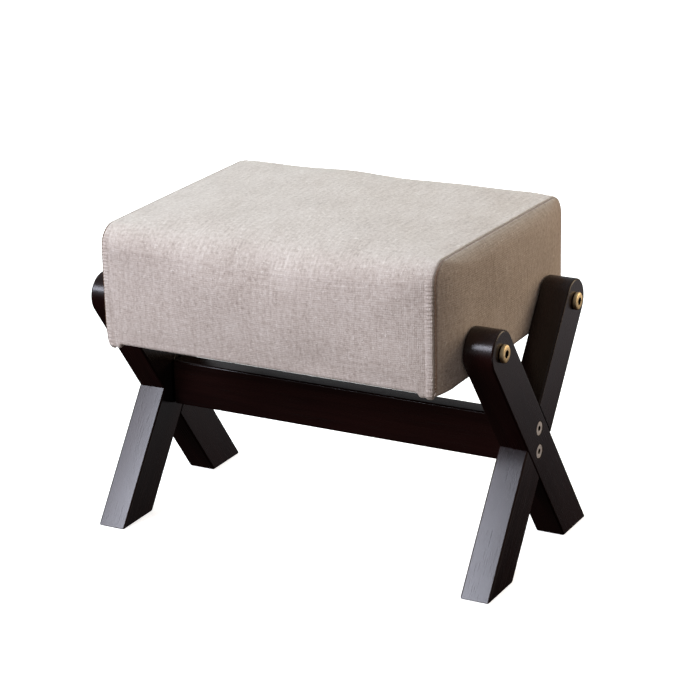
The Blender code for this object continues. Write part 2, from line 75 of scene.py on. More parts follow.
def makeCamera():
    turn, down, roll = (math.radians(camera[key]) for key in ("turn", "down", "roll"))
    ahead = Vector((math.sin(turn) * math.cos(down), math.cos(turn) * math.cos(down), -math.sin(down)))
    level = Vector((math.cos(turn), -math.sin(turn), 0.0))
    upright = level.cross(ahead)
    right = level * math.cos(roll) + upright * math.sin(roll)
    up = upright * math.cos(roll) - level * math.sin(roll)
    data = bpy.data.cameras.new("camera")
    data.lens = camera["lens"]
    data.sensor_width = 36.0
    data.clip_start, data.clip_end = 0.1, 400.0
    eye = linked("camera", data)
    turned = Matrix((right, up, -ahead)).transposed().to_4x4()
    eye.matrix_world = Matrix.Translation(camera["place"]) @ turned
    scene.camera = eye


makeCamera()
print("camera placed")

# Shader graph helper: sums on a wire add Math nodes


class Wire:
    def __init__(self, tree, socket=None):
        self.tree = tree
        self.socket = socket

    def node(self, kind, settings, inputs, output=0):
        made = self.tree.nodes.new("ShaderNode" + kind)
        for name, value in settings.items():
            if name == "stops":
                ramp = made.color_ramp
                while len(ramp.elements) < len(value):
                    ramp.elements.new(1.0)
                for element, (place, colour) in zip(ramp.elements, value):
                    element.position = place
                    element.color = (*colour, 1.0)
            else:
                setattr(made, name, value)
        for name, value in inputs.items():
            if isinstance(value, Wire):
                self.tree.links.new(value.socket, made.inputs[name])
            else:
                made.inputs[name].default_value = value
        return Wire(self.tree, made.outputs[output])

    def sum(self, operation, first, second=0.0):
        return self.node("Math", {"operation": operation}, {0: first, 1: second})

    def __add__(self, other):
        return self.sum("ADD", self, other)

    __radd__ = __add__

    def __mul__(self, other):
        return self.sum("MULTIPLY", self, other)

    __rmul__ = __mul__

    def __sub__(self, other):
        return self.sum("SUBTRACT", self, other)

    def __rsub__(self, other):
        return self.sum("SUBTRACT", other, self)

    def __abs__(self):
        return self.sum("ABSOLUTE", self)

    def wave(self):
        return self.sum("SINE", self)

    def between(self, low, high):
        settings = {"interpolation_type": "SMOOTHSTEP"}
        return self.node("MapRange", settings, {"Value": self, "From Min": low, "From Max": high})

    def stretched(self, scale, turn=(0.0, 0.0, 0.0)):
        return self.node("Mapping", {}, {"Vector": self, "Scale": scale, "Rotation": turn})

    def noise(self, scale, detail=2.0, roughness=0.5):
        inputs = {"Vector": self, "Scale": scale, "Detail": detail, "Roughness": roughness}
        return self.node("TexNoise", {}, inputs)

    def mixed(self, first, second):
        inputs = {0: self, 6: first, 7: second}
        return self.node("Mix", {"data_type": "RGBA"}, inputs, 2)


def newMaterial(name, fixed):
    material = bpy.data.materials.new(name)
    material.use_nodes = True
    tree = material.node_tree
    for socket, value in fixed.items():
        tree.nodes["Principled BSDF"].inputs[socket].default_value = value
    return material, Wire(tree).node("TexCoord", {}, {}, 3)


def finished(material, colour, rough, relief, distance, strength):
    # the three signals that vary over a finish
    bump = relief.node("Bump", {}, {"Height": relief, "Distance": distance, "Strength": strength})
    for socket, wire in {"Base Color": colour, "Roughness": rough, "Normal": bump}.items():
        wire.tree.links.new(wire.socket, wire.tree.nodes["Principled BSDF"].inputs[socket])
    return material


# Materials


def wovenFabric(name):
    # two sets of slubby yarns in a plain weave, on the cloth's own map in metres
    yarn = {"warp": 0.00145, "weft": 0.00165, "slub": 0.011, "patch": 0.045, "wander": 0.0016}
    fixed = {"Roughness": 0.9, "Sheen Weight": 0.22, "Sheen Roughness": 0.45, "Specular IOR Level": 0.25}
    material, place = newMaterial(name, fixed)
    cloth = place.node("UVMap", {"uv_map": "cloth"}, {})
    u, v = (cloth.node("SeparateXYZ", {}, {0: cloth}, axis) for axis in (0, 1))
    wander = (cloth.noise(150.0, 3.0, 0.6) - 0.5) * yarn["wander"]
    warp = (u + wander) * (math.pi / yarn["warp"])
    weft = (v + wander) * (math.pi / yarn["weft"])
    warpOver = (warp.wave() * weft.wave()).between(-0.28, 0.28)
    warpRound, weftRound = abs(warp.wave()), abs(weft.wave())
    height = warpRound * (0.35 + 0.65 * warpOver) + weftRound * (1.0 - 0.65 * warpOver)
    warpTone = cloth.stretched((1 / yarn["warp"], 1 / yarn["slub"], 1.0)).noise(1.0, 3.0, 0.6)
    weftTone = cloth.stretched((1 / yarn["slub"], 1 / yarn["weft"], 1.0)).noise(1.0, 3.0, 0.6)
    tone = warpTone * warpOver + weftTone * (1 - warpOver)
    streaks = cloth.stretched((310.0, 34.0, 1.0)).noise(1.0, 2.0, 0.5)
    tufts = cloth.stretched((400.0, 300.0, 1.0)).noise(1.0, 3.0, 0.62)
    patches = cloth.noise(1 / yarn["patch"], 3.0, 0.55)
    fuzz = cloth.noise(1500.0, 2.0, 0.7)
    flecks = cloth.stretched((270.0, 330.0, 1.0)).noise(1.0, 2.0, 0.6).between(0.60, 0.72)
    light = (tone - 0.5) * 0.8 + (tufts - 0.5) * 1.05 + (streaks - 0.5) * 0.45 + (patches - 0.5) * 0.4
    light = light + (fuzz - 0.5) * 0.3 + 0.45 + height * 0.08
    stops = [(0.0, (0.30, 0.243, 0.214)), (0.45, (0.53, 0.462, 0.422)), (1.0, (0.74, 0.683, 0.645))]
    base = place.node("ValToRGB", {"stops": stops}, {0: light})
    base = (flecks * 0.45).mixed(base, (0.87, 0.82, 0.77, 1.0))
    # painted shade: the cloth is darkened to brown in and beside the seam grooves, by the attribute set on the
    # cover panels
    seamShade = place.node("Attribute", {"attribute_name": "seamShade"}, {}, 2)
    base = seamShade.mixed(base, (0.115, 0.055, 0.022, 1.0))
    relief = height * 0.36 + fuzz * 0.28 + tone * 0.20 + tufts * 0.6 + flecks * 0.4
    return finished(material, base, 0.82 + fuzz * 0.16, relief, 0.00055, 0.9)


def lacqueredWood(name, turn):
    # dark stain under satin lacquer, with fine pores along the bar
    fixed = {"Specular IOR Level": 0.43, "IOR": 1.5}
    material, place = newMaterial(name, fixed)
    grain = place.stretched((1.0, 1.0, 1.0), turn)
    wander = grain.stretched((9.0, 9.0, 2.0)).noise(1.0, 3.0, 0.55)
    pores = grain.stretched((1400.0, 1400.0, 34.0)).noise(1.0, 2.0, 0.6).between(0.58, 0.78)
    bands = grain.stretched((60.0, 60.0, 4.0)).noise(1.0, 4.0, 0.6)
    smears = place.noise(16.0, 3.0, 0.6)
    dark, warm = (0.0042, 0.0013, 0.0012, 1.0), (0.0150, 0.0042, 0.0036, 1.0)
    tone = (bands * 0.75 + wander * 0.35).between(0.36, 0.78)
    colour = (pores * 0.6).mixed(tone.mixed(dark, warm), (0.0016, 0.0009, 0.0008, 1.0))
    rough = 0.17 + bands * 0.06 + pores * 0.14 + smears * 0.10
    return finished(material, colour, rough, bands * 0.3 - pores * 0.25 + smears * 0.5, 0.00012, 0.4)


def metal(name, dark, light, rough, scratch):
    # plated metal with fine turning marks and handling
    material, place = newMaterial(name, {"Metallic": 1.0})
    haze = place.noise(420.0, 3.0, 0.6)
    marks = place.stretched((300.0, 5200.0, 5200.0)).noise(1.0, 2.0, 0.5)
    # painted shade: the floor and walls of the hex socket are darkened, and also made rougher
    recess = place.node("Attribute", {"attribute_name": "recess"}, {}, 2)
    plate = haze.between(0.25, 0.75).mixed((*dark, 1.0), (*light, 1.0))
    colour = recess.mixed(plate, (0.022, 0.014, 0.009, 1.0))
    roughness = rough + haze * 0.14 + marks * scratch + recess * 0.3
    return finished(material, colour, roughness, marks * 0.5 + haze * 0.5, 0.00003, 0.4)


def paleWood(name, turn, stops, rings):
    # unfinished softwood or ply of the hidden frame
    material, place = newMaterial(name, {"Roughness": 0.7})
    grain = place.stretched((1.0, 1.0, 1.0), turn)
    wander = grain.stretched((12.0, 3.0, 12.0)).noise(1.0, 2.0)
    lines = grain.stretched((rings, 6.0, rings)).noise(1.0, 4.0, 0.6)
    fibre = grain.stretched((1500.0, 30.0, 1500.0)).noise(1.0, 2.0)
    colour = place.node("ValToRGB", {"stops": stops}, {0: lines * 0.7 + wander * 0.3 + fibre * 0.1})
    return finished(material, colour, 0.62 + fibre * 0.2, fibre + lines * 0.5, 0.0002, 0.5)


def spunCloth(name):
    # pressed black fibres of the sheet under the seat
    material, place = newMaterial(name, {"Roughness": 0.95, "Specular IOR Level": 0.3})
    flat = place.stretched((1.0, 1.0, 0.15))
    fibre = flat.noise(1900.0, 3.0, 0.7)
    dots = abs(flat.node("TexVoronoi", {"feature": "F1"}, {"Vector": flat, "Scale": 620.0}) - 0.3)
    cloud = flat.noise(60.0, 3.0)
    tone = (fibre * 0.6 + cloud * 0.5).between(0.3, 0.8)
    colour = tone.mixed((0.010, 0.010, 0.011, 1.0), (0.040, 0.039, 0.040, 1.0))
    return finished(material, colour, 0.82 + cloud * 0.15, fibre * 0.6 + dots, 0.0002, 0.6)


def openFoam(name):
    # pale foam with open cells
    material, place = newMaterial(name, {"Roughness": 0.95, "Subsurface Weight": 0.05})
    cells = place.node("TexVoronoi", {"feature": "F1"}, {"Vector": place, "Scale": 900.0})
    cloud = place.noise(25.0, 3.0)
    tone = (cloud * 0.7 + cells * 0.6).between(0.2, 0.9)
    colour = tone.mixed((0.78, 0.68, 0.42, 1.0), (0.90, 0.84, 0.62, 1.0))
    return finished(material, colour, 0.85 + cells * 0.1, cells, 0.0004, 0.8)


def threadFinish(name):
    # twisted pale sewing thread
    material, place = newMaterial(name, {"Roughness": 0.6, "Sheen Weight": 0.2})
    twist = place.stretched((2600.0, 2600.0, 5200.0), (0.6, 0.4, 0.0)).noise(1.0, 1.0)
    colour = twist.between(0.3, 0.7).mixed((0.30, 0.23, 0.18, 1.0), (0.52, 0.44, 0.36, 1.0))
    return finished(material, colour, 0.5 + twist * 0.25, twist, 0.0001, 0.5)


barLean = math.radians(35.79)
quarter = math.radians(90)
pineWarm = [(0.25, (0.42, 0.24, 0.10)), (0.6, (0.66, 0.44, 0.22)), (0.8, (0.74, 0.54, 0.31))]
pineDull = [(0.25, (0.40, 0.23, 0.10)), (0.6, (0.64, 0.43, 0.22)), (0.8, (0.72, 0.52, 0.30))]
plyTones = [(0.25, (0.38, 0.25, 0.13)), (0.6, (0.55, 0.39, 0.22)), (0.8, (0.63, 0.47, 0.29))]
finish = {
    "fabric": wovenFabric("beige woven fabric"),
    "frontLean": lacqueredWood("espresso lacquer on a bar leaning back", (barLean, 0.0, 0.0)),
    "rearLean": lacqueredWood("espresso lacquer on a bar leaning forward", (-barLean, 0.0, 0.0)),
    "level": lacqueredWood("espresso lacquer on the stretcher", (0.0, quarter, 0.0)),
    "brass": metal("pale brass plate", (0.74, 0.58, 0.33), (0.95, 0.82, 0.55), 0.36, 0.10),
    "zinc": metal("zinc plate", (0.62, 0.61, 0.63), (0.90, 0.89, 0.90), 0.38, 0.12),
    "pineAcross": paleWood("pine along the seat", (0.0, 0.0, quarter), pineWarm, 150.0),
    "pineDeep": paleWood("pine across the seat", (0.0, 0.0, 0.0), pineDull, 150.0),
    "ply": paleWood("plywood", (0.0, 0.0, quarter), plyTones, 90.0),
    "spun": spunCloth("black spun cloth"),
    "foam": openFoam("pale open foam"),
    "thread": threadFinish("pale sewing thread"),
}
print("finishes made")

# Seat block: the envelope of its cover, as the frame has it

seat = {
    "halfWidth": 0.1597, "halfDepth": 0.123, "bottom": 0.1799, "flatTop": 0.280, "crown": 0.008,
    "belly": 0.006, "topRadius": 0.019, "bottomRadius": 0.003, "seamRadius": 0.025, "seamIn": 0.0080,
    "seamDraw": 0.0027, "seamTopShare": 0.35, "cornerShare": 0.6, "tightest": 0.0170, "middle": 0.225,
    "rollMain": 0.15, "domeReach": 0.046, "domeTurn": 0.0180, "rollSteps": 200, "hem": 0.022,
    "cloth": 0.0012,
}

# The stuffing stands a little higher towards the right-hand front corner

fuller = {"lift": 0.0065, "across": (0.02, 0.150), "up": (0.215, 0.274),
          "centre": 0.62, "slope": 3.8, "most": 1.05}


def bow(value, edge):
    return np.clip(1 - (value / edge) ** 2, 0.0, None)


def smoothStep(value, low, high):
    t = np.clip((value - low) / (high - low), 0, 1)
    return t * t * (3 - 2 * t)


def upperEdge(draw):
    # half depth, height and upper corner radius of an outline, tighter towards the seams
    radius = np.maximum(seat["topRadius"] - seat["cornerShare"] * draw, seat["tightest"])
    return seat["halfDepth"] - draw, seat["flatTop"] - seat["seamTopShare"] * draw, radius


def curve(first, middle, last):
    # a short bend through three control points, as x, draw, length along it and the angle it faces
    t = np.linspace(0, 1, seat["rollSteps"] + 1)[:, None]
    first, middle, last = (np.array(point) for point in (first, middle, last))
    points = (1 - t) ** 2 * first + 2 * t * (1 - t) * middle + t ** 2 * last
    slope = 2 * (1 - t) * (middle - first) + 2 * t * (last - middle)
    return {
        "x": seat["halfWidth"] - seat["seamRadius"] + points[:, 0],
        "draw": points[:, 1],
        "length": arcLength(points),
        "angle": np.arctan2(np.abs(slope[:, 1]), np.abs(slope[:, 0])),
    }


def arcLength(points):
    steps = np.linalg.norm(np.diff(points, axis=0), axis=1)
    return np.concatenate([[0.0], np.cumsum(steps)])


def seatRolls():
    # the bend of the main panel, from the seam inwards, and of the side panel, from the seam outwards
    size = seat["seamRadius"]
    seam = (size - seat["seamIn"], seat["seamDraw"])
    main = curve(seam, (size * seat["rollMain"], 0.0), (0.0, 0.0))
    outer = curve(seam, (size, seam[1] + seat["domeTurn"]), (size, seat["domeReach"]))
    return main, outer


mainRoll, sideRoll = seatRolls()
seamPlace = {"x": mainRoll["x"][0], "draw": mainRoll["draw"][0]}


def rollStations(count):
    # (x, draw) from the side plane over the seam to the flat
    picks = np.linspace(0, seat["rollSteps"], count).round().astype(int)
    x = np.concatenate([sideRoll["x"][picks][::-1], mainRoll["x"][picks][1:]])
    draw = np.concatenate([sideRoll["draw"][picks][::-1], mainRoll["draw"][picks][1:]])
    return x, draw


def archPoints(draw, counts):
    # (y, z, which) from the rear hem over the top to the front hem, for an outline drawn in by a seam
    half, top, radius = upperEdge(draw)
    low, foot = seat["bottomRadius"], seat["bottom"]
    hemEnd = seat["halfDepth"] - seat["hem"]
    rear = [(hemEnd + (half - low - hemEnd) * i / counts["hem"], foot) for i in range(counts["hem"])]
    for i in range(counts["lowCorner"]):
        angle = math.radians(-90 + 90 * i / counts["lowCorner"])
        rear.append((half - low + low * math.cos(angle), foot + low + low * math.sin(angle)))
    for i in range(counts["face"]):
        rear.append((half, foot + low + (top - radius - foot - low) * i / counts["face"]))
    for i in range(counts["topCorner"] + 1):
        angle = math.radians(90 * i / counts["topCorner"])
        rear.append((half - radius + radius * math.cos(angle), top - radius + radius * math.sin(angle)))
    edge = half - radius
    across = [(edge - 2 * edge * i / counts["top"], top) for i in range(1, counts["top"])]
    front = [(-y, z) for y, z in reversed(rear)]
    return np.array(rear + across + front)


def swell(points, draw):
    # the crown on top and the belly of front and back, as in the frame
    x, y, z = points[..., 0], points[..., 1], points[..., 2]
    half, top, radius = upperEdge(draw)
    middle = (seat["flatTop"] + seat["bottom"]) / 2
    across = bow(x, seat["halfWidth"])
    tall = bow(z - middle, seat["flatTop"] - middle)
    onTop = np.clip((z - top + radius) / radius, 0, 1)
    onFace = np.clip((np.abs(y) - half + radius) / radius, 0, 1)
    moved = points.copy()
    moved[..., 2] += seat["crown"] * across * bow(y, seat["halfDepth"]) * onTop
    moved[..., 1] += np.sign(y) * seat["belly"] * across * tall * onFace
    return moved


def fullCorner(points):
    x, y, z = points[..., 0], points[..., 1], points[..., 2]
    forward = np.clip(fuller["centre"] - fuller["slope"] * y, 0.0, fuller["most"])
    moved = points.copy()
    lift = fuller["lift"] * smoothStep(x, *fuller["across"]) * forward
    moved[..., 2] += lift * smoothStep(z, *fuller["up"])
    return moved


def gridNormals(grid):
    # upwards in the middle of the grid
    normal = np.cross(np.gradient(grid, axis=0), np.gradient(grid, axis=1))
    normal = normal / np.maximum(np.linalg.norm(normal, axis=2, keepdims=True), 1e-12)
    return normal * math.copysign(1.0, normal[len(grid) // 2, grid.shape[1] // 2, 2])


def ripple(a, b, waves):
    # a smooth, fixed unevenness from a few slow waves
    total = 0.0
    for size, turn, phase, height in waves:
        total = total + height * np.sin((a * math.cos(turn) + b * math.sin(turn)) * 2 * math.pi / size + phase)
    return total


def meshObject(name, points, faces, material, uv=None, smooth=True):
    mesh = bpy.data.meshes.new(name)
    mesh.from_pydata([tuple(point) for point in points], [], [tuple(face) for face in faces])
    mesh.update()
    if uv is not None:
        layer = mesh.uv_layers.new(name="cloth")
        index = np.empty(len(mesh.loops), np.int32)
        mesh.loops.foreach_get("vertex_index", index)
        layer.data.foreach_set("uv", np.asarray(uv, np.float32)[index].ravel())
    mesh.materials.append(material)
    if smooth:
        mesh.shade_smooth()
    return linked(name, mesh)


def paintSeamShade(piece, shade):
    # how much painted shade darkens the cloth to brown at each point, for its finish
    layer = piece.data.attributes.new("seamShade", "FLOAT", "POINT").data
    layer.foreach_set("value", np.asarray(shade, np.float32))


def gridFaces(rows, columns):
    at = np.arange(rows * columns).reshape(rows, columns)
    corners = [at[:-1, :-1], at[:-1, 1:], at[1:, 1:], at[1:, :-1]]
    return np.stack([corner.ravel() for corner in corners], axis=1)


def closedFaces(wide, long):
    # a lofted skin with its two ends and its underside
    at = np.arange(wide * long).reshape(wide, long)
    faces = [tuple(face) for face in gridFaces(wide, long)] + [tuple(at[0]), tuple(at[-1][::-1])]
    return faces + [(at[i, 0], at[i, -1], at[i + 1, -1], at[i + 1, 0]) for i in range(wide - 1)]


def outwardFaces(piece, weld=0.0):
    # joins points closer than the weld, then turns every face outwards
    bm = bmesh.new()
    bm.from_mesh(piece.data)
    if weld:
        bmesh.ops.remove_doubles(bm, verts=bm.verts, dist=weld)
    bmesh.ops.recalc_face_normals(bm, faces=bm.faces)
    bm.to_mesh(piece.data)
    bm.free()


def smoothed(mesh, sharpest):
    mesh.shade_smooth()
    mesh.set_sharp_from_angle(angle=math.radians(sharpest))


def enter(piece, slotName, *nodes):
    # into the frame's one body, in place of its nodes
    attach(piece, "root")
    if nodes:
        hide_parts(*nodes)


def atStation(across, outline):
    return np.column_stack([np.full(len(outline), across), outline])


def bodyStations(rolls, flats):
    # (x, draw) across the whole seat, from one side plane to the other
    x, draw = rollStations(rolls)
    flat = np.linspace(-1, 1, flats)[1:-1] * (seat["halfWidth"] - seat["seamRadius"])
    return [*zip(-x, draw), *((across, 0.0) for across in flat), *zip(x[::-1], draw[::-1])]

# Padding pressure: a cloth simulation blows the body up against its seams, its base and the frames

padding = {
    "voxel": 0.0055, "pressure": 4.0, "steps": 20, "cap": 0.006, "share": 0.55, "steadyBase": 0.012,
    "steadySeam": 0.007, "seamHold": 0.002, "nearest": 6, "nearBlend": 0.002, "armTop": 0.226,
}


def paddingBody():
    counts = {"hem": 4, "lowCorner": 3, "face": 18, "topCorner": 6, "top": 40}
    rows = [swellBy(atStation(across, archPoints(drawn, counts)), drawn, padding["share"])
            for across, drawn in bodyStations(5, 41)]
    grid = np.stack(rows)
    body = meshObject("padding body", grid.reshape(-1, 3), closedFaces(*grid.shape[:2]), finish["foam"])
    outwardFaces(body)
    return body


def swellBy(points, draw, share):
    return points + (swell(points, draw) - points) * share


def coordinates(mesh):
    points = np.empty(len(mesh.vertices) * 3, np.float32)
    mesh.vertices.foreach_get("co", points)
    return points.reshape(-1, 3).astype(float)


def evaluated(piece):
    return bpy.data.meshes.new_from_object(piece.evaluated_get(bpy.context.evaluated_depsgraph_get()))


def keepEvaluated(piece):
    piece.data = evaluated(piece)
    piece.modifiers.clear()


def steadiness(points):
    # one where the cover is held: under the rails, along the seams and between the frames
    x, z = np.abs(points[:, 0]), points[:, 2]
    base = np.clip(1 - (z - seat["bottom"]) / padding["steadyBase"], 0, 1)
    seamX = seamPlace["x"]
    seam = np.clip(1 - (np.abs(x - seamX) - padding["seamHold"]) / padding["steadySeam"], 0, 1)
    framed = (x > seamX) & (z < padding["armTop"])
    return np.maximum(np.maximum(base, seam), framed)


def inflate():
    # a tree of where the body was, and how far each place moved
    body = paddingBody()
    modify(body, "even cloth", "REMESH", mode="VOXEL", voxel_size=padding["voxel"])
    keepEvaluated(body)
    start = coordinates(body.data)
    held = body.vertex_groups.new(name="held")
    for index, weight in enumerate(steadiness(start)):
        if weight > 0:
            held.add([index], float(weight), "REPLACE")
    cloth = modify(body, "pressure", "CLOTH")
    cloth.settings.use_pressure = True
    cloth.settings.uniform_pressure_force = padding["pressure"]
    cloth.settings.effector_weights.gravity = 0.0
    cloth.settings.vertex_group_mass = "held"
    cloth.settings.quality = 5
    cloth.point_cache.frame_start, cloth.point_cache.frame_end = 1, padding["steps"]
    for step in range(1, padding["steps"] + 1):
        scene.frame_set(step)
    moved = coordinates(evaluated(body)) - start
    scene.frame_set(1)
    bpy.data.objects.remove(body, do_unlink=True)
    reach = np.linalg.norm(moved, axis=1, keepdims=True)
    tree = KDTree(len(start))
    for index, point in enumerate(start):
        tree.insert(point, index)
    tree.balance()
    return tree, moved * np.minimum(1.0, padding["cap"] / np.maximum(reach, 1e-9))


def puffed(points, draw):
    tree, moved = simulated
    full = swellBy(points, draw, padding["share"])
    result = full.reshape(-1, 3).copy()
    for index, point in enumerate(result):
        near = tree.find_n(point, padding["nearest"])
        weights = np.array([1 / (distance + padding["nearBlend"]) ** 2 for _, _, distance in near])
        result[index] += (moved[[at for _, at, _ in near]] * weights[:, None]).sum(axis=0) / weights.sum()
    return result.reshape(full.shape)


simulated = inflate()
if simulated:
    farthest = float(np.linalg.norm(simulated[1], axis=1).max())
    print(f"padding blown up, farthest place {farthest * 1000:.1f} mm")

# Main panel of the cover: one length of cloth over the back, the top and the front

mainPanel = {
    "counts": {"hem": 5, "lowCorner": 6, "face": 104, "topCorner": 34, "top": 84}, "fineStep": 0.0011,
    "midStep": 0.0016, "coarseStep": 0.0052, "fineReach": 0.0165, "midReach": 0.024, "lip": 0.0018,
    "lipReach": 0.0012, "allowance": (0.0007, 0.0018, 0.0035), "seamShift": 0.0003, "band": 0.0078,
    "bandHeight": 0.0007, "bandRise": (0.0008, 0.0022), "bandFall": 0.0012, "bandDip": 0.0004,
    "dipWidth": 0.0011, "flatBand": 0.12, "flatFrom": (-0.002, 0.016), "calmIn": (0.004, 0.03),
    "calmRise": 0.02, "pucker": 0.00075, "puckerPitch": 0.0027,
    "puckerDrift": [(1.3, 0.011, 0.0), (0.9, 0.037, 1.0)], "puckerFade": (0.019, 2.0), "tuckDrop": 0.0038,
    "tuckFlare": -0.0016, "tuckForward": 0.3, "tuckRise": 0.022, "tuckWidth": 0.0115, "tuckEdge": 0.0050,
    "tuckFrom": 0.108, "tuckFull": 0.1170, "paintedGrooveShade": 0.85, "grooveWidth": 0.0010,
    "waves": [(0.083, 0.4, 0.3, 0.00045), (0.061, 1.9, 1.1, 0.00032), (0.117, 2.6, 2.0, 0.00055)],
}


def seamDistances():
    total = seat["halfWidth"] - seat["seamRadius"] + mainRoll["length"][-1]
    fine = np.arange(0.0, mainPanel["fineReach"], mainPanel["fineStep"])
    mid = np.arange(fine[-1] + mainPanel["midStep"], mainPanel["midReach"], mainPanel["midStep"])
    spans = math.ceil((total - mid[-1]) / mainPanel["coarseStep"])
    coarse = np.linspace(mid[-1], total, spans + 1)[1:]
    return np.concatenate([fine, mid, coarse]) - mainPanel["seamShift"]


def seamDetail(q, along, upright):
    # how far the cloth stands out near a seam: lip, band over the allowances, and puckers
    size = mainPanel
    phase = 2 * np.pi * along / size["puckerPitch"]
    for height, length, shift in size["puckerDrift"]:
        phase = phase + height * np.sin(along / length + shift)
    lip = -size["lip"] * np.exp(-((np.maximum(q, 0) / size["lipReach"]) ** 2))
    raised = smoothStep(q, *size["bandRise"])
    raised = raised * (1 - smoothStep(q, size["band"] - size["bandFall"], size["band"]))
    dip = np.exp(-(((q - size["band"]) / size["dipWidth"]) ** 2))
    beat = 0.5 + 0.5 * np.sin(phase)
    length, shift = size["puckerFade"]
    strength = 0.25 + 0.75 * (0.5 + 0.5 * np.sin(along / length + shift))
    shape = size["bandHeight"] * raised + size["pucker"] * raised * (beat - 0.5) * 2 * strength
    return lip + upright * (shape - size["bandDip"] * dip * (0.4 + beat))


def cornerTuck(points, near, hangsFrom):
    # the cloth folded under hangs a little at the four lower corners
    low = np.clip(1 - (points[..., 2] - seat["bottom"]) / mainPanel["tuckRise"], 0, 1) ** 2
    return low * near * smoothStep(np.abs(points[..., 1]), hangsFrom, mainPanel["tuckFull"])


def hangTuck(points, tuck):
    # down, and a little inwards under the seam
    moved = points.copy()
    moved[..., 2] -= mainPanel["tuckDrop"] * tuck
    moved[..., 0] += np.sign(points[..., 0]) * mainPanel["tuckFlare"] * tuck
    moved[..., 1] += np.sign(points[..., 1]) * mainPanel["tuckForward"] * mainPanel["tuckFlare"] * tuck
    return moved


def mirrored(values, sign=1):
    # from one seam to the middle and on to the other
    return np.concatenate([sign * values, values[::-1][1:]])


def mainCoverPanel():
    q = seamDistances()
    x = np.interp(q, mainRoll["length"], mainRoll["x"]) - np.maximum(q - mainRoll["length"][-1], 0.0)
    draw = np.interp(q, mainRoll["length"], mainRoll["draw"])
    x[-1] = 0.0
    rows = []
    for across, drawn in zip(mirrored(x, -1), mirrored(draw)):
        row = atStation(across, archPoints(drawn, mainPanel["counts"]))
        rows.append(fullCorner(puffed(row, drawn)))
    grid = np.stack(rows)
    normal = gridNormals(grid)
    along = arcLength(grid[0])[None, :]
    fromSeam = mirrored(q)[:, None]
    flat = mainPanel["flatBand"]
    upright = flat + (1 - flat) * smoothStep(seat["flatTop"] - grid[..., 2], *mainPanel["flatFrom"])
    stands = seamDetail(fromSeam, along, upright)
    calm = smoothStep(grid[..., 2], seat["bottom"], seat["bottom"] + mainPanel["calmRise"])
    calm = smoothStep(fromSeam, *mainPanel["calmIn"]) * calm
    stands = stands + calm * ripple(grid[..., 0], along, mainPanel["waves"])
    near = 1 - smoothStep(fromSeam, mainPanel["tuckWidth"], mainPanel["tuckWidth"] + mainPanel["tuckEdge"])
    grid = hangTuck(grid + normal * stands[..., None], cornerTuck(grid, near, mainPanel["tuckFrom"]))
    # the cloth turns in at each seam
    turnIn = mainPanel["allowance"]
    first = [grid[0] - normal[0] * depth for depth in reversed(turnIn)]
    last = [grid[-1] - normal[-1] * depth for depth in turnIn]
    grid = np.stack([*first, *grid, *last])
    u = np.array([arcLength(grid[:, column]) for column in range(0, grid.shape[1], 8)]).mean(axis=0)
    u = u - u.mean()
    v = arcLength(grid[len(grid) // 2])
    uv = np.stack(np.broadcast_arrays(u[:, None], v[None, :]), axis=-1).reshape(-1, 2)
    faces = gridFaces(*grid.shape[:2])
    piece = meshObject("seat_cover_main", grid.reshape(-1, 3), faces, finish["fabric"], uv)
    # painted shade: the seam groove and the turned-in allowance are darkened to brown
    turned = np.zeros(len(turnIn))
    nearSeam = np.maximum(np.concatenate([turned, mirrored(q), turned]), 0.0)[:, None]
    shade = mainPanel["paintedGrooveShade"] * np.exp(-((nearSeam / mainPanel["grooveWidth"]) ** 2))
    paintSeamShade(piece, (shade * np.ones(grid.shape[1])).ravel())
    return piece, float(u[-1] - u[0]), float(v[-1])


def outwards(piece, guess):
    # turns the faces over if most of them look away from the way they should
    mesh = piece.data
    total = sum(face.normal.dot(guess(face.center)) * face.area for face in mesh.polygons)
    if total < 0:
        mesh.flip_normals()


def addCloth(piece, thickness):
    modify(piece, "cloth", "SOLIDIFY", thickness=thickness, offset=-1.0, use_even_offset=False)


mainPiece, mainWide, mainLong = mainCoverPanel()
outwards(mainPiece, lambda place: place - Vector((0.0, 0.0, seat["middle"])))
addCloth(mainPiece, seat["cloth"])
enter(mainPiece, "woven_fabric", "main_cover_panel")
print(f"main cover panel made, {mainWide * 1000:.0f} by {mainLong * 1000:.0f} mm of cloth")

# Side panels of the cover: flat cloth between the frames, rolled over to the seam

sidePanel = {
    "ring": (0.0, 0.0009, 0.0020, 0.0034, 0.0052, 0.0074, 0.0100, 0.0130), "groove": 0.0009, "grid": 0.0029,
    "every": (1, 1, 2, 2, 3, 3, 4), "gridGap": 0.6, "mapShift": 0.6,
    "counts": {"hem": 1, "lowCorner": 1, "face": 96, "topCorner": 30, "top": 150}, "bulge": 0.0012,
    "bulgeLow": 0.222, "bulgeIn": (0.008, 0.05), "bulgeRise": 0.03, "calmIn": (0.006, 0.022),
    "calmRise": 0.02, "onTop": 0.7, "fold": 0.005, "foldEnd": 0.003, "foldSteps": 6, "hemReach": 0.022,
    "hemShort": 0.0004, "hemFade": 0.012, "tuckFrom": 0.080, "lip": 0.0003, "lipReach": 0.0010,
    "pucker": 0.00016, "puckerBand": (0.0025, 0.002), "paintedSeamShades": [(0.8, 0.0012), (0.16, 0.016)],
    "paintedTurnedShade": 0.8, "paintedHemShade": 0.1, "pressedTo": (0.45, 0.95),
    "waves": [(0.058, 0.9, 0.7, 0.00035), (0.039, 2.2, 0.1, 0.00022), (0.091, 1.5, 1.4, 0.00045)],
}


sideFoot = seat["bottom"] + sidePanel["fold"]
grooveDraw = float(np.interp(sidePanel["groove"], sideRoll["length"], sideRoll["draw"]))


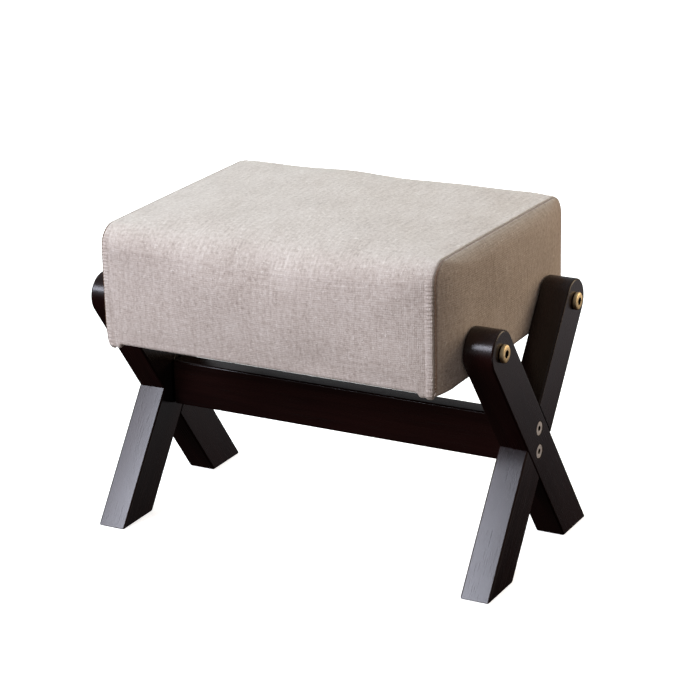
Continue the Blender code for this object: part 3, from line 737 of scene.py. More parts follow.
def fromCorner(y, z, draw):
    # past the middle of an outline's upper corner, along |y| and z, and its radius
    half, top, radius = upperEdge(draw)
    return np.abs(y) - (half - radius), z - (top - radius), radius


def outsideBy(y, z, draw):
    # distance outside the seat's outline drawn in by this much
    across, up, radius = fromCorner(y, z, draw)
    corner = np.hypot(np.maximum(across, 0), np.maximum(up, 0))
    return corner + np.minimum(np.maximum(across, up), 0) - radius


def outlineNormal(y, z, draw):
    # which way an outline faces, as its shares along |y| and z
    across, up, _ = fromCorner(y, z, draw)
    flat = (across <= 0) & (up <= 0)
    facesAcross = np.where(flat, across > up, np.maximum(across, 0))
    facesUp = np.where(flat, across <= up, np.maximum(up, 0))
    length = np.maximum(np.hypot(facesAcross, facesUp), 1e-9)
    return facesAcross / length, facesUp / length


def drawAt(y, z):
    # how far the outline through this place is drawn in
    low, high = np.zeros_like(y), np.full_like(y, seat["domeReach"])
    for _ in range(26):
        middle = (low + high) / 2
        inside = outsideBy(y, z, middle) < 0
        low, high = np.where(inside, middle, low), np.where(inside, high, middle)
    return (low + high) / 2


def sideOutline(draw, every):
    counts = {key: max(1, value // every) for key, value in sidePanel["counts"].items()}
    ring = archPoints(draw, counts)
    ring = ring[ring[:, 1] >= sideFoot - 0.0001]
    ring[0, 1] = ring[-1, 1] = sideFoot
    return ring


def flatSheet(outline):
    # the panel's points in its own plane, rings along the seam and a grid within, and its triangles
    points = list(outline)
    edges = [(i, (i + 1) % len(points)) for i in range(len(points))]
    for ring, every in zip(sidePanel["ring"][1:], sidePanel["every"]):
        points += list(sideOutline(grooveDraw + ring, every))
    step = sidePanel["grid"]
    edge = grooveDraw + sidePanel["ring"][-1] + step * sidePanel["gridGap"]
    ys = np.arange(-seat["halfDepth"], seat["halfDepth"], step)
    for row, z in enumerate(np.arange(sideFoot, seat["flatTop"], step)):
        line = np.column_stack([ys + (step / 2 if row % 2 else 0.0), np.full(len(ys), z)])
        points += list(line[outsideBy(line[:, 0], line[:, 1], edge) < 0])
    made = delaunay_2d_cdt([Vector(point) for point in points], edges, [], 1, 1e-6)
    return np.array([tuple(point) for point in made[0]]), [tuple(face) for face in made[2]]


def sideForm(flat, side):
    # where each point of the sheet lies, the way out of the cloth there, and its painted shade by the seam
    y, z = flat[:, 0], flat[:, 1]
    drawn = np.maximum(drawAt(y, z), grooveDraw)
    angle, x, q = (np.interp(drawn, sideRoll["draw"], sideRoll[key]) for key in ("angle", "x", "length"))
    q = q - sidePanel["groove"]
    place = fullCorner(puffedSide(np.column_stack([side * x, y, z]), drawn))
    inside = -outsideBy(y, z, grooveDraw)
    bulgeLow, calmRise = sidePanel["bulgeLow"], sidePanel["calmRise"]
    lift = sidePanel["bulge"] * smoothStep(inside, *sidePanel["bulgeIn"])
    lift = lift * smoothStep(z, bulgeLow, bulgeLow + sidePanel["bulgeRise"])
    calm = smoothStep(inside, *sidePanel["calmIn"]) * smoothStep(z, sideFoot, sideFoot + calmRise)
    free = smoothStep(z, bulgeLow, bulgeLow + calmRise)
    uneven = ripple(y, z, sidePanel["waves"])
    # between the frames the cloth only wrinkles inwards
    place[:, 0] += side * (lift + calm * (uneven * free - np.abs(uneven) * (1 - free)))
    lip = sidePanel["lip"] * np.exp(-((q / sidePanel["lipReach"]) ** 2))
    across, up = outlineNormal(y, z, drawn)
    outward = np.column_stack([side * np.sin(angle), np.sign(y) * across * np.cos(angle), up * np.cos(angle)])
    onTop = up > sidePanel["onTop"]
    beat = np.sin(2 * np.pi * (np.abs(y) * onTop + z * ~onTop) / mainPanel["puckerPitch"])
    at, reach = sidePanel["puckerBand"]
    close = np.exp(-(((q - at) / reach) ** 2)) * (1 - 0.8 * onTop)
    place += outward * (-lip + sidePanel["pucker"] * beat * close)[:, None]
    place = hangTuck(place, cornerTuck(place, 1.0, sidePanel["tuckFrom"]))
    # painted shade: a narrow dark band in the seam groove and a wide brown one reaching into the side, weaker
    # on the top
    narrow, wide = (shade * np.exp(-((np.maximum(q, 0.0) / reach) ** 2))
                    for shade, reach in sidePanel["paintedSeamShades"])
    return place, outward, narrow + wide * (1 - 0.6 * onTop)


def sideCoverPanel(name, side):
    outline = sideOutline(grooveDraw, 1)
    flat, faces = flatSheet(outline)
    place, outward, shade = sideForm(flat, side)
    points = [tuple(point) for point in place]
    uv = [(u + sidePanel["mapShift"] * side, v) for u, v in flat]

    def extend(previous, added):
        # one more row of (point, uv) beyond the last
        row = list(range(len(points), len(points) + len(added)))
        points.extend(point for point, _ in added)
        uv.extend(spot for _, spot in added)
        faces.extend((a, b, c, d) for a, b, c, d in zip(previous, previous[1:], row[1:], row))
        return row

    # seam allowance, turned in
    byPlace = {tuple(np.round(point, 7)): index for index, point in enumerate(flat)}
    rim = [byPlace[key] for key in (tuple(np.round(point, 7)) for point in outline) if key in byPlace]
    previous = rim
    for depth in mainPanel["allowance"]:
        added = [(tuple(place[i] - outward[i] * depth), (uv[i][0], uv[i][1] + depth)) for i in rim]
        previous = extend(previous, added)
    # the lower edge rolls under the rail into its hem
    base = sorted((i for i in range(len(flat)) if abs(flat[i, 1] - sideFoot) < 1e-5), key=lambda i: flat[i, 0])
    hemEnd = seat["halfDepth"] - seat["hem"] - sidePanel["hemShort"]
    fold = sidePanel["fold"]
    previous = base
    for turn in range(1, sidePanel["foldSteps"] + 1):
        swing = quarter * turn / sidePanel["foldSteps"]
        added = []
        for i in base:
            px, py, pz = place[i]
            ending = smoothStep(abs(py), hemEnd - sidePanel["hemFade"], hemEnd)
            size = fold + (sidePanel["foldEnd"] - fold) * ending
            bent = (px - side * size * (1 - math.cos(swing)), py, pz - fold * math.sin(swing))
            added.append((bent, (uv[i][0], uv[i][1] - fold * swing)))
        previous = extend(previous, added)
    inner = [(i, j) for i, j in zip(previous, base) if abs(flat[j, 0]) <= hemEnd]
    reach = sidePanel["hemReach"]
    added = [((points[i][0] - side * (reach - fold), *points[i][1:]), (uv[j][0], uv[j][1] - reach))
             for i, j in inner]
    extend([i for i, _ in inner], added)
    piece = meshObject(name, points, faces, finish["fabric"], uv)
    # painted shade on the turned-in allowance in the groove, and a little on the hem under the seat
    turnedIn = np.full(len(points) - len(flat), sidePanel["paintedHemShade"])
    turnedIn[:len(rim) * len(mainPanel["allowance"])] = sidePanel["paintedTurnedShade"]
    paintSeamShade(piece, np.concatenate([shade, turnedIn]))
    outwardFaces(piece)
    piece.data.shade_smooth()
    return piece


def puffedSide(points, drawn):
    # only the rolled edge takes the padding's pressure, because the frames hold the flat
    full = puffed(points, drawn)
    share = 1 - smoothStep(drawn, *(seat["seamRadius"] * reach for reach in sidePanel["pressedTo"]))
    return points + (full - points) * share[:, None]


for sideName, side in sides.items():
    sidePiece = sideCoverPanel(f"seat_cover_{sideName}", side)
    outwards(sidePiece, lambda place, side=side: Vector((side, 0.0, 0.0)))
    addCloth(sidePiece, seat["cloth"])
    enter(sidePiece, "woven_fabric", f"{sideName}_cover_panel")
print("side cover panels made")

# End frames: crossed bars with round arm ends

bars = {
    "thickness": 0.026, "width": 0.0375, "feetDepth": 0.197, "boltOffset": 0.0717, "boltHeight": 0.204,
    "innerFace": 0.160, "ease": 0.0017, "past": 0.002, "screwMouth": 0.002, "endSteps": 60,
    "stretcherRise": 0.0015, "gap": 0.0003, "boltHole": 0.0033, "screwSpacing": 0.020, "screwHead": 0.0115,
    "screwShank": 0.0050, "screwLength": 0.060,
}
soleLength = bars["width"] / math.cos(barLean)
crossingHeight = (bars["feetDepth"] - soleLength) / 2 / math.tan(barLean)
stretcherMiddle = crossingHeight + bars["stretcherRise"]
outerFace = bars["innerFace"] + bars["thickness"]


def barOutline(slope):
    along = Vector((slope * math.sin(barLean), math.cos(barLean)))
    across = Vector((math.cos(barLean), -slope * math.sin(barLean)))
    crossing = Vector((0.0, crossingHeight))
    bolt = Vector((slope * bars["boltOffset"], bars["boltHeight"]))

    def soleCorner(offset):
        edge = crossing + offset * across
        return edge - along * edge.y / along.y

    points = [soleCorner(-bars["width"] / 2)]
    for step in range(bars["endSteps"] + 1):
        angle = math.pi * step / bars["endSteps"]
        points.append(bolt + bars["width"] / 2 * (math.sin(angle) * along - math.cos(angle) * across))
    points.append(soleCorner(bars["width"] / 2))
    return points


def plainMesh(name, build, material=None):
    # a mesh object from a bmesh recipe
    bm = bmesh.new()
    build(bm)
    bmesh.ops.recalc_face_normals(bm, faces=bm.faces)
    mesh = bpy.data.meshes.new(name)
    bm.to_mesh(mesh)
    bm.free()
    if material:
        mesh.materials.append(material)
    return linked(name, mesh)


def drill(radius, first, last, y, z):
    # a round cutter along X
    turned = Matrix.Translation(((first + last) / 2, y, z)) @ Matrix.Rotation(quarter, 4, "Y")
    size = {"segments": 48, "radius1": radius, "radius2": radius, "depth": abs(last - first)}
    return plainMesh("cutter", lambda bm: bmesh.ops.create_cone(bm, cap_ends=True, matrix=turned, **size))


def cube(bm, size, middle):
    # a box of this size, placed and turned by a matrix
    bmesh.ops.create_cube(bm, size=1.0, matrix=middle @ Matrix.Diagonal((*size, 1.0)))


def roundRing(bm, radius, height, steps, matrix=Matrix.Identity(4)):
    # a circle of points about Z, or one point on the axis
    if radius < 1e-7:
        return [bm.verts.new(matrix @ Vector((0.0, 0.0, height)))]
    points = []
    for step in range(steps):
        turn = 2 * math.pi * step / steps
        points.append(bm.verts.new(matrix @ Vector((radius * math.cos(turn), radius * math.sin(turn), height))))
    return points


def bridge(bm, rings):
    # faces between each ring and the next; a ring may be one point
    for here, there in zip(rings, rings[1:]):
        steps = max(len(here), len(there))
        for step in range(steps):
            after = step + 1
            corners = [here[step % len(here)], here[after % len(here)],
                       there[after % len(there)], there[step % len(there)]]
            corners = list(dict.fromkeys(corners))
            if len(corners) > 2:
                bm.faces.new(corners)


def screwCutter(side, height):
    head, shank = bars["screwHead"] / 2 + bars["gap"], bars["screwShank"] / 2 + bars["gap"]
    mouth, deep = bars["screwMouth"], -bars["screwLength"] - bars["gap"]
    profile = [(0.0, mouth), (head, mouth), (head, -bars["gap"]), (shank, -bars["gap"] - (head - shank)),
               (shank, deep), (0.0, deep)]
    facing = Vector((side, 0, 0)).to_track_quat("Z", "Y").to_matrix().to_4x4()
    place = Matrix.Translation((side * outerFace, 0.0, height)) @ facing
    return plainMesh("cutter", lambda bm: bridge(bm, [roundRing(bm, *point, 48, place) for point in profile]))


def carve(piece, cutters):
    # cuts every cutter away, then keeps the plain mesh with flat shading on its flat faces
    for cutter in cutters:
        modify(piece, "cut", "BOOLEAN", operation="DIFFERENCE", solver="EXACT", object=cutter)
    keepEvaluated(piece)
    for cutter in cutters:
        bpy.data.objects.remove(cutter, do_unlink=True)
    smoothed(piece.data, 38)
    modify(piece, "even shading", "WEIGHTED_NORMAL", keep_sharp=True)
    keepEvaluated(piece)


def easeEdges(piece, width, segments=3):
    modify(piece, "eased edges", "BEVEL", width=width, segments=segments, limit_method="ANGLE",
           angle_limit=math.radians(30), harden_normals=False)


screwHeights = [stretcherMiddle + bars["screwSpacing"] / 2, stretcherMiddle - bars["screwSpacing"] / 2]


def leg(sideName, side, endName, end):
    slope = -end
    outline = barOutline(slope)

    def build(bm):
        faces = [[bm.verts.new((side * across, *point)) for point in outline]
                 for across in (bars["innerFace"], outerFace)]
        for face in faces:
            bm.faces.new(face)
        bridge(bm, faces)
    piece = plainMesh(f"{sideName}_{endName}_leg_bar", build, finish[f"{endName}Lean"])
    easeEdges(piece, bars["ease"])
    # the rear leg runs unbroken over the outer face
    depth = bars["thickness"] / 2 + bars["gap"] / 2
    reach = (bars["thickness"] / 2 - depth / 2 + bars["past"] / 2) * (1 if endName == "front" else -1)
    middle = bars["innerFace"] + bars["thickness"] / 2 + reach
    size = (depth + bars["past"], bars["width"] + 2 * bars["gap"], 3 * bars["width"])
    place = Matrix.Translation((side * middle, 0.0, crossingHeight)) @ Matrix.Rotation(slope * barLean, 4, "X")
    lap = plainMesh("cutter", lambda bm: cube(bm, size, place))
    hole = drill(bars["boltHole"], side * (bars["innerFace"] - bars["past"]), side * (outerFace + bars["past"]),
                 slope * bars["boltOffset"], bars["boltHeight"])
    carve(piece, [lap, hole] + [screwCutter(side, height) for height in screwHeights])
    enter(piece, "lacquered_wood", f"{sideName}_{endName}_leg")


for sideName, side in sides.items():
    for endName, end in ends.items():
        leg(sideName, side, endName, end)
print("end frames made")

# Stretcher between the crossings

stretcherBar = {"thickness": 0.018, "height": 0.040}


def stretcher():
    size = (2 * (bars["innerFace"] - bars["gap"]), stretcherBar["thickness"], stretcherBar["height"])
    middle = Matrix.Translation((0.0, 0.0, stretcherMiddle))
    piece = plainMesh("cross_stretcher", lambda bm: cube(bm, size, middle), finish["level"])
    easeEdges(piece, bars["ease"])
    carve(piece, [screwCutter(side, height) for side in sides.values() for height in screwHeights])
    enter(piece, "lacquered_wood", "stretcher")


stretcher()
print("stretcher made")

# Foam block and the thin foam over the rails

foamPad = {
    "inset": 0.0036, "floor": 0.2410, "middle": 0.262, "stripInset": 0.0032, "sideInset": 0.0025,
    "ease": 0.0012, "fineStep": 0.0018, "step": 0.004, "hole": (0.148, 0.162),
    "counts": {"hem": 1, "lowCorner": 1, "face": 40, "topCorner": 12, "top": 60},
}


def foamBlock():
    # the seat's form just inside its cover, down to the deck
    rows = []
    for across, drawn in bodyStations(7, 49):
        outline = archPoints(drawn, foamPad["counts"])
        outline = outline[outline[:, 1] > foamPad["floor"]]
        rows.append(fullCorner(puffed(atStation(across, outline), drawn)))
    shortest = min(len(row) for row in rows)
    grid = np.stack([evenRow(row, shortest) for row in rows])
    grid = grid - gridNormals(grid) * foamPad["inset"]
    grid[:, (0, -1), 2] = foamPad["floor"]
    piece = meshObject("seat_foam", grid.reshape(-1, 3), closedFaces(*grid.shape[:2]), finish["foam"])
    outwardFaces(piece, 0.000001)
    smoothed(piece.data, 50)
    return piece


def evenRow(row, count):
    # the same line, with as many points as asked, evenly spaced
    length = arcLength(row)
    places = np.linspace(0, length[-1], count)
    return np.column_stack([np.interp(places, length, row[:, axis]) for axis in range(3)])


def softStrip(name, node, outerAxis, outerSide, outerAt, holes=()):
    # a strip of thin foam with eased edges, whose outer face follows the cover
    low, high = (np.array(corner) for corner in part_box(node))
    steps = [foamPad["fineStep"] if axis == outerAxis else foamPad["step"] for axis in range(3)]
    counts = [max(3, round((high[axis] - low[axis]) / steps[axis])) for axis in range(3)]
    inner = low[outerAxis] if outerSide > 0 else high[outerAxis]

    def build(bm):
        bmesh.ops.create_cube(bm, size=1.0)
        for axis in range(3):
            cuts = [edge for edge in bm.edges if abs((edge.verts[0].co - edge.verts[1].co)[axis]) > 0.5]
            bmesh.ops.subdivide_edges(bm, edges=cuts, cuts=counts[axis] - 1, use_grid_fill=True)
        share = np.array([tuple(vert.co) for vert in bm.verts]) + 0.5
        places = low + share * (high - low)
        outerShare = share[:, outerAxis] if outerSide > 0 else 1 - share[:, outerAxis]
        places[:, outerAxis] = inner + (outerAt(places) - inner) * outerShare
        for vert, place in zip(bm.verts, places):
            vert.co = place
    piece = plainMesh(name, build, finish["foam"])
    easeEdges(piece, foamPad["ease"], 2)
    if holes:
        first, last = (outerSide * across for across in foamPad["hole"])
        carve(piece, [drill(bars["boltHole"], first, last, y, bars["boltHeight"]) for y in holes])
    enter(piece, "foam", node)


def endOuter(end):
    def outerAt(places):
        onFace = places.copy()
        onFace[:, 1] = end * seat["halfDepth"]
        return puffed(onFace, 0.0)[:, 1] - end * foamPad["stripInset"]
    return outerAt


def sideOuter(side):
    def outerAt(places):
        draw = drawAt(places[:, 1], places[:, 2])
        return side * (np.interp(draw, sideRoll["draw"], sideRoll["x"]) - foamPad["sideInset"])
    return outerAt


foamPiece = foamBlock()
outwards(foamPiece, lambda place: place - Vector((0.0, 0.0, foamPad["middle"])))
enter(foamPiece, "foam", "foam_pad")
for endName, end in ends.items():
    softStrip(f"seat_padding_{endName}", f"{endName}_wadding", 1, end, endOuter(end))
for sideName, side in sides.items():
    softStrip(f"seat_padding_{sideName}", f"{sideName}_wadding", 0, side,
              sideOuter(side), [-bars["boltOffset"], bars["boltOffset"]])
print("foam and padding made")

# Dust cover: spun cloth under the seat, folded in at its edges and stapled

dustCover = {
    "step": 0.0042, "sag": 0.0016, "fold": 0.012, "cloth": 0.0006, "stapleInset": 0.006, "stapleStep": 0.034,
    "pull": 0.00035, "pullWidth": 0.009, "lift": 0.0003, "clear": 0.0001,
    "sagFull": 0.07, "wrinkleFull": 0.03,
    "waves": [(0.031, 0.7, 0.2, 0.00022), (0.047, 2.1, 1.0, 0.00028), (0.022, 1.2, 0.4, 0.00012)],
}


def staplePlaces():
    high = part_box("dust_cover")[1]
    halfX, halfY = (edge - dustCover["stapleInset"] for edge in (high.x, high.y))
    places = []
    for half, other, alongX in ((halfX, halfY, True), (halfY, halfX, False)):
        count = round(2 * half / dustCover["stapleStep"])
        for i in range(count):
            t = -half + 2 * half * (i + 0.5) / count
            for end in (-1, 1):
                places.append((t, end * other, alongX) if alongX else (end * other, t, alongX))
    return places


def dustSheet():
    low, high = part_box("dust_cover")
    xs, ys = (np.linspace(low[axis], high[axis], round((high[axis] - low[axis]) / dustCover["step"]) + 1)
              for axis in (0, 1))
    gx, gy = np.meshgrid(xs, ys, indexing="ij")
    fromEdge = np.minimum(high.x - np.abs(gx), high.y - np.abs(gy))
    fold = dustCover["fold"]
    sag = dustCover["sag"] * smoothStep(fromEdge, fold, dustCover["sagFull"])
    sag = sag + ripple(gx, gy, dustCover["waves"]) * smoothStep(fromEdge, fold, dustCover["wrinkleFull"])
    for px, py, _ in staplePlaces():
        sag = sag - dustCover["pull"] * np.exp(-((gx - px) ** 2 + (gy - py) ** 2) / dustCover["pullWidth"] ** 2)
    gz = low.z + dustCover["clear"] - sag - np.where(fromEdge < fold, dustCover["lift"], 0.0)
    grid = np.stack([gx, gy, gz], axis=-1)
    uv = grid[..., :2].reshape(-1, 2)
    piece = meshObject("seat_dust_cover", grid.reshape(-1, 3), gridFaces(*grid.shape[:2]), finish["spun"], uv)
    outwards(piece, lambda place: Vector((0.0, 0.0, -1.0)))
    addCloth(piece, dustCover["cloth"])
    enter(piece, "dust_cloth", "dust_cover")


dustSheet()
print("dust cover made")

# Geometry Nodes: one small tree repeats a piece on points that say where it faces


def repeatTree(kind):
    tree = bpy.data.node_groups.new(f"repeat {kind}", "GeometryNodeTree")
    face = tree.interface
    face.new_socket(name="Geometry", in_out="OUTPUT", socket_type="NodeSocketGeometry")
    kinds = {"Places": "Geometry", "Piece": "Object", "Size": "Float", "Uneven turn": "Float",
             "Uneven size": "Float", "Seed": "Int", "Finish": "Material"}
    sockets = {name: face.new_socket(name=name, in_out="INPUT", socket_type="NodeSocket" + kind).identifier
               for name, kind in kinds.items()}

    def add(nodeType, inputs, output=0, **settings):
        # a node with its links and values, as one of its outputs
        made = tree.nodes.new(nodeType)
        for name, value in settings.items():
            setattr(made, name, value)
        for name, value in inputs.items():
            if isinstance(value, bpy.types.NodeSocket):
                tree.links.new(value, made.inputs[name])
            else:
                made.inputs[name].default_value = value
        return made.outputs[output] if made.outputs else None

    def onPoints(name):
        return add("GeometryNodeInputNamedAttribute", {"Name": name}, "Attribute", data_type="FLOAT_VECTOR")

    def chance(seed):
        return add("FunctionNodeRandomValue", {2: -1.0, 3: 1.0, "Seed": seed}, 1, data_type="FLOAT")

    def maths(operation, *values):
        return add("ShaderNodeMath", dict(enumerate(values)), operation=operation)

    given = tree.nodes.new("NodeGroupInput").outputs
    directions = {"Primary Axis": onPoints("facing"), "Secondary Axis": onPoints("along")}
    axes = add("FunctionNodeAxesToRotation", directions, primary_axis="Z", secondary_axis="X")
    angle = maths("MULTIPLY", chance(given["Seed"]), given["Uneven turn"])
    spin = add("FunctionNodeAxisAngleToRotation", {"Axis": (0.0, 0.0, 1.0), "Angle": angle})
    turned = add("FunctionNodeRotateRotation", {0: axes, 1: spin}, rotation_space="LOCAL")
    otherSeed = maths("ADD", given["Seed"], 7.0)
    size = maths("MULTIPLY_ADD", chance(otherSeed), given["Uneven size"], 1.0)
    source = add("GeometryNodeObjectInfo", {"Object": given["Piece"]}, "Geometry")
    scale = maths("MULTIPLY", size, given["Size"])
    copies = add("GeometryNodeInstanceOnPoints",
                 {"Points": given["Places"], "Instance": source, "Rotation": turned, "Scale": scale})
    real = add("GeometryNodeRealizeInstances", {0: copies})
    painted = add("GeometryNodeSetMaterial", {"Geometry": real, "Material": given["Finish"]})
    add("NodeGroupOutput", {"Geometry": painted})
    return tree, sockets


def repeat(name, pattern, places, material, seed, unevenTurn, unevenSize=0.0):
    # places are (place, facing, along); the result is one plain mesh
    mesh = bpy.data.meshes.new(name)
    mesh.from_pydata([tuple(place) for place, _, _ in places], [], [])
    for key, at in (("facing", 1), ("along", 2)):
        data = mesh.attributes.new(key, "FLOAT_VECTOR", "POINT").data
        data.foreach_set("vector", np.array([tuple(entry[at]) for entry in places], np.float32).ravel())
    piece = linked(name, mesh)
    tree, sockets = repeatTree(name)
    grown = modify(piece, "repeat", "NODES", node_group=tree)
    values = {"Piece": pattern, "Size": 1.0, "Uneven turn": unevenTurn, "Uneven size": unevenSize,
              "Seed": seed, "Finish": material}
    for key, value in values.items():
        grown[sockets[key]] = value
    keepEvaluated(piece)
    bpy.data.objects.remove(pattern, do_unlink=True)
    smoothed(piece.data, 35)
    return piece


# Seat bolts: flat bevelled brass heads with a hex socket, and a threaded shank

seatBolt = {
    "head": 0.015, "headHeight": 0.0034, "bevel": 0.0014, "rim": 0.0004, "shank": 0.006, "length": 0.055,
    "socket": 0.0060, "socketDepth": 0.0029, "thread": 0.00035, "pitch": 0.00125, "threadStart": 0.026,
    "plainTip": 0.001, "steps": 40,
}
socketEdge = {"down": 0.00015, "wider": 0.0003, "floorShade": 1.0, "wallShade": 0.9}


def hexRing(bm, acrossFlats, height, steps):
    # a ring of points round a hexagon, matched to a round ring
    points = []
    for step in range(steps):
        angle = 2 * math.pi * step / steps
        reach = acrossFlats / 2 / math.cos((angle % math.radians(60)) - math.radians(30))
        points.append(bm.verts.new((reach * math.cos(angle), reach * math.sin(angle), height)))
    return points


def screwBody(bm, face, outside, size):
    # head face with a hex socket, then the outside down to the tip
    recess = bm.verts.layers.float.new("recess")
    height, steps, socket = face[1], size["steps"], size["socket"]
    floor = hexRing(bm, socket, height - size["socketDepth"], steps)
    wall = hexRing(bm, socket, height - socketEdge["down"], steps)
    mouth = hexRing(bm, socket + socketEdge["wider"], height, steps)
    # marks the socket's floor and walls for the painted shade of the finish
    for points, shade in ((floor, socketEdge["floorShade"]), (wall, socketEdge["wallShade"])):
        for vert in points:
            vert[recess] = shade
    bm.faces.new(floor)
    bridge(bm, [floor, wall, mouth, *(roundRing(bm, *point, steps) for point in [face, *outside])])


def threaded(radius, start, stop, pitch, depth):
    # ridges of a thread as (radius, height)
    ridges = []
    height = start
    while height - pitch > stop:
        ridges += [(radius, height), (radius - depth, height - pitch / 2)]
        height -= pitch
    return ridges


def boltPattern():
    size = seatBolt
    head, shank, top, bevel = size["head"] / 2, size["shank"] / 2, size["headHeight"], size["bevel"]
    stop = size["plainTip"] - size["length"]
    outside = [
        (head - bevel * 0.55, top - bevel * 0.16),
        (head - bevel * 0.20, top - bevel * 0.45),
        (head, top - bevel),
        (head, size["rim"]),
        (head - size["rim"], 0.0),
        (shank, 0.0),
        *threaded(shank, -size["threadStart"], stop, size["pitch"], size["thread"]),
        (shank * 2 / 3, -size["length"]),
        (0.0, -size["length"]),
    ]
    return plainMesh("bolt pattern", lambda bm: screwBody(bm, (head - bevel, top), outside, size))


boltPlaces = [((side * (outerFace + bars["gap"]), end * bars["boltOffset"], bars["boltHeight"]),
               (side, 0.0, 0.0), (0.0, 1.0, 0.3 * end)) for side in sides.values() for end in ends.values()]
bolts = repeat("seat_bolts", boltPattern(), boltPlaces, finish["brass"], 4, 0.8)
enter(bolts, "brass_plate", *(f"{sideName}_{endName}_seat_bolt" for sideName in sides for endName in ends))

# Stretcher screws: countersunk, with a hex recess

stretcherScrew = {
    "rim": 0.0003, "edge": 0.00012, "ease": 0.00015, "socket": 0.0042, "socketDepth": 0.0024, "pitch": 0.0016,
    "thread": 0.0006, "smooth": 0.014, "plainTip": 0.004, "steps": 36,
}


def screwPattern():
    size = stretcherScrew
    head, shank, length = bars["screwHead"] / 2, bars["screwShank"] / 2, bars["screwLength"]
    outside = [
        (head, -size["edge"]),
        (head, -size["rim"]),
        (shank, -size["rim"] - (head - shank)),
        *threaded(shank, -size["smooth"], size["plainTip"] - length, size["pitch"], size["thread"]),
        (shank / 3, -length),
        (0.0, -length),
    ]
    return plainMesh("screw pattern", lambda bm: screwBody(bm, (head - size["ease"], 0.0), outside, size))


screwPlaces = [((side * (outerFace - bars["gap"]), 0.0, height), (side, 0.0, 0.0), (0.0, 1.0, 0.2))
               for side in sides.values() for height in screwHeights]
screws = repeat("stretcher_screws", screwPattern(), screwPlaces, finish["zinc"], 9, 1.0)
enter(screws, "zinc_plate",
      *(f"{sideName}_{level}_stretcher_screw" for sideName in sides for level in ("upper", "lower")))

# Staples round the dust cover

# half of each line of its wire, as (in from the end, height)
staple = {
    "wide": 0.0095, "wire": 0.0009, "outer": [(0.0, -0.0005), (0.0, 0.0002), (0.0004, 0.0006)],
    "inner": [(0.0005, -0.0005), (0.0005, 0.0), (0.0007, 0.0001)], "clear": 0.0001,
}


def staplePattern():
    half = staple["wide"] / 2

    def build(bm):
        outer, inner = ([(inward - half, height) for inward, height in staple[line]]
                        + [(half - inward, height) for inward, height in reversed(staple[line])]
                        for line in ("outer", "inner"))
        near, far = ([bm.verts.new((x, y, z)) for x, z in outer + inner[::-1]]
                     for y in (-staple["wire"] / 2, staple["wire"] / 2))
        bm.faces.new(near)
        bm.faces.new(far)
        bridge(bm, [near, far])
    return plainMesh("staple pattern", build)


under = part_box("dust_cover")[0].z - staple["clear"]
staplePoints = [((x, y, under), (0.0, 0.0, -1.0), (1.0, 0.0, 0.0) if alongX else (0.0, 1.0, 0.0))
                for x, y, alongX in staplePlaces()]
staples = repeat("dust_cover_staples", staplePattern(), staplePoints, finish["zinc"], 3, 0.16)
enter(staples, "zinc_plate")
print("bolts, screws and staples made")

# Seam stitches: short threads across the groove of each side seam

stitch = {"step": 0.0027, "long": 0.0021, "thick": 0.00042, "deep": 0.0013}


def stitchPattern():
    def build(bm):
        bmesh.ops.create_uvsphere(bm, u_segments=8, v_segments=6, radius=0.5)
        for vert in bm.verts:
            vert.co.x *= stitch["long"]
            vert.co.y *= stitch["thick"]
            vert.co.z *= stitch["thick"] * 0.8
    return plainMesh("stitch pattern", build)


def seamLine(side):
    # points along the seam with the way out of the cloth, a stitch apart
    draw, across = seamPlace["draw"], seamPlace["x"]
    outline = archPoints(draw, mainPanel["counts"])
    outline = outline[outline[:, 1] > seat["bottom"] + seat["bottomRadius"]]
    row = fullCorner(puffed(atStation(side * across, outline), draw))
    row = evenRow(row, round(arcLength(row)[-1] / stitch["step"]))
    tangent = np.gradient(row, axis=0)
    tangent /= np.linalg.norm(tangent, axis=1, keepdims=True)
    inPlane = np.cross(np.array([1.0, 0.0, 0.0]), tangent)
    middle = row - np.array([0.0, 0.0, seat["middle"]])
    inPlane *= np.sign((inPlane * middle).sum(axis=1, keepdims=True))
    facing = (mainRoll["angle"][0] + sideRoll["angle"][0]) / 2
    outward = inPlane * math.cos(facing) + np.array([side * math.sin(facing), 0.0, 0.0])
    return row, outward, tangent


seamPlaces = []
for side in sides.values():
    for point, outward, tangent in zip(*seamLine(side)):
        across = np.cross(outward, tangent)
        seamPlaces.append((point - outward * stitch["deep"], outward, across))
stitches = repeat("seam_stitches", stitchPattern(), seamPlaces, finish["thread"], 6, 0.25, 0.15)
enter(stitches, "woven_fabric")
print("seam stitches made")

# Frame pieces that keep their own solid

keptFinish = {"front_rail": "pineAcross", "rear_rail": "pineAcross", "left_rail": "pineDeep",
              "right_rail": "pineDeep", "seat_deck": "ply"}
for node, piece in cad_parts.items():
    key = keptFinish.get(node) or ("zinc" if "rail_screw" in node or "t_nut" in node else None)
    if key:
        piece.data.materials.clear()
        piece.data.materials.append(finish[key])

# Studio: pale floor, soft light from the left, the front and above

studio = {"floor": 150.0, "aim": (0.0, 0.0, 0.15), "lamps": {
    "key": {"place": (-1.030, -1.680, 1.335), "size": (0.80, 0.72), "power": 35.0, "tint": (0.89, 0.91, 1.05),
            "glossy": True},
    "top": {"place": (-0.9, 0.5, 1.85), "size": (2.1, 2.1), "power": 34.5, "tint": (0.90, 1.05, 1.04),
            "glossy": False},
    "ahead": {"place": (-0.30, -2.25, 0.50), "size": (1.0, 1.0), "power": 15.0, "tint": (1.0, 0.94, 0.88),
            "glossy": False},
    "beside": {"place": (0.75, 0.62, 0.42), "size": (0.6, 0.6), "power": 4.0, "tint": (1.0, 0.79, 0.56),
            "glossy": True},
}}


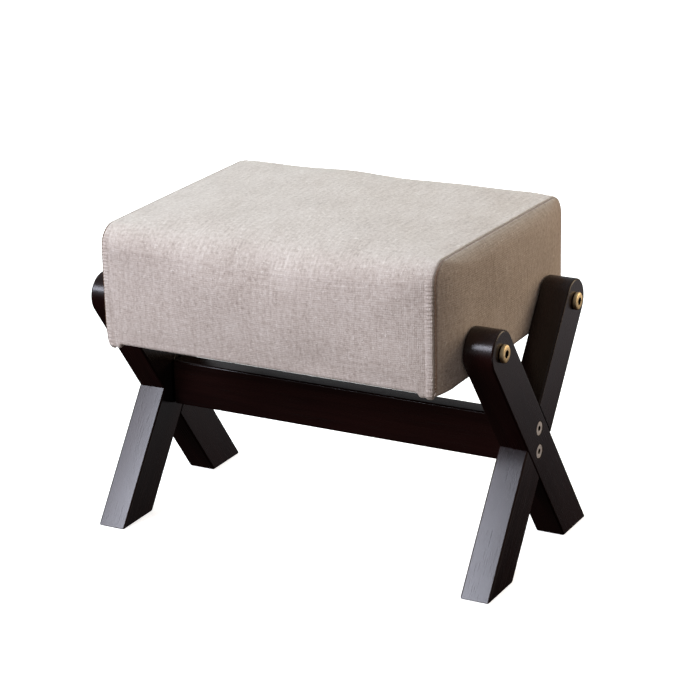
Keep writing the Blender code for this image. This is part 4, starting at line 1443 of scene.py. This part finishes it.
def softLight(name, setting):
    data = bpy.data.lights.new(name, "AREA")
    data.shape = "RECTANGLE"
    data.size, data.size_y = setting["size"]
    data.energy = setting["power"]
    data.color = setting["tint"]
    lamp = linked(name, data)
    lamp.location = setting["place"]
    lamp.visible_camera = False
    lamp.visible_glossy = setting["glossy"]
    aim = Vector(studio["aim"]) - Vector(setting["place"])
    lamp.rotation_euler = aim.to_track_quat("-Z", "Y").to_euler()


def paleFloor():
    half = studio["floor"]
    corners = [(-half, -half, 0.0), (half, -half, 0.0), (half, half, 0.0), (-half, half, 0.0)]
    fixed = {"Roughness": 0.9, "Emission Color": (1.0, 1.0, 1.0, 1.0), "Emission Strength": 0.8}
    material, place = newMaterial("pale floor", fixed)
    cloud = place.noise(3.0, 3.0).mixed((0.93, 0.93, 0.93, 1.0), (0.95, 0.95, 0.95, 1.0))
    cloud.tree.links.new(cloud.socket, cloud.tree.nodes["Principled BSDF"].inputs["Base Color"])
    floor = meshObject("floor", corners, [(0, 1, 2, 3)], material, smooth=False)
    floor.visible_diffuse = False
    floor.visible_glossy = False


def softWorld():
    # pale above on the left; dim and warm on the right, with a pale band low down for the outer faces
    world = bpy.data.worlds.new("studio")
    scene.world = world
    world.use_nodes = True
    tree = world.node_tree
    start = Wire(tree)
    direction = start.node("TexCoord", {}, {}, 0)
    across = direction.node("SeparateXYZ", {}, {0: direction}, 0)
    height = direction.node("SeparateXYZ", {}, {0: direction}, 2) * 0.5 + 0.5
    clear = [(0.0, (0.016, 0.010, 0.009)), (0.34, (0.026, 0.018, 0.016)), (0.47, (0.05, 0.036, 0.032)),
             (0.54, (0.30, 0.30, 0.31)), (1.0, (0.34, 0.34, 0.35))]
    dim = [(0.0, (0.004, 0.002, 0.001)), (0.305, (0.006, 0.002, 0.001)), (0.321, (0.045, 0.032, 0.032)),
           (0.333, (0.35, 0.33, 0.35)), (0.36, (0.46, 0.44, 0.46)), (0.40, (0.40, 0.36, 0.34)),
           (0.44, (0.06, 0.032, 0.018)), (0.56, (0.06, 0.035, 0.02)), (1.0, (0.30, 0.27, 0.24))]
    bright = start.node("ValToRGB", {"stops": clear}, {0: height})
    shaded = start.node("ValToRGB", {"stops": dim}, {0: height})
    colour = across.between(-0.2, 0.3).mixed(bright, shaded)
    tree.links.new(colour.socket, tree.nodes["Background"].inputs["Color"])
    tree.nodes["Background"].inputs["Strength"].default_value = 1.0


paleFloor()
softWorld()
for lightName, setting in studio["lamps"].items():
    softLight(lightName, setting)
print("studio lit")
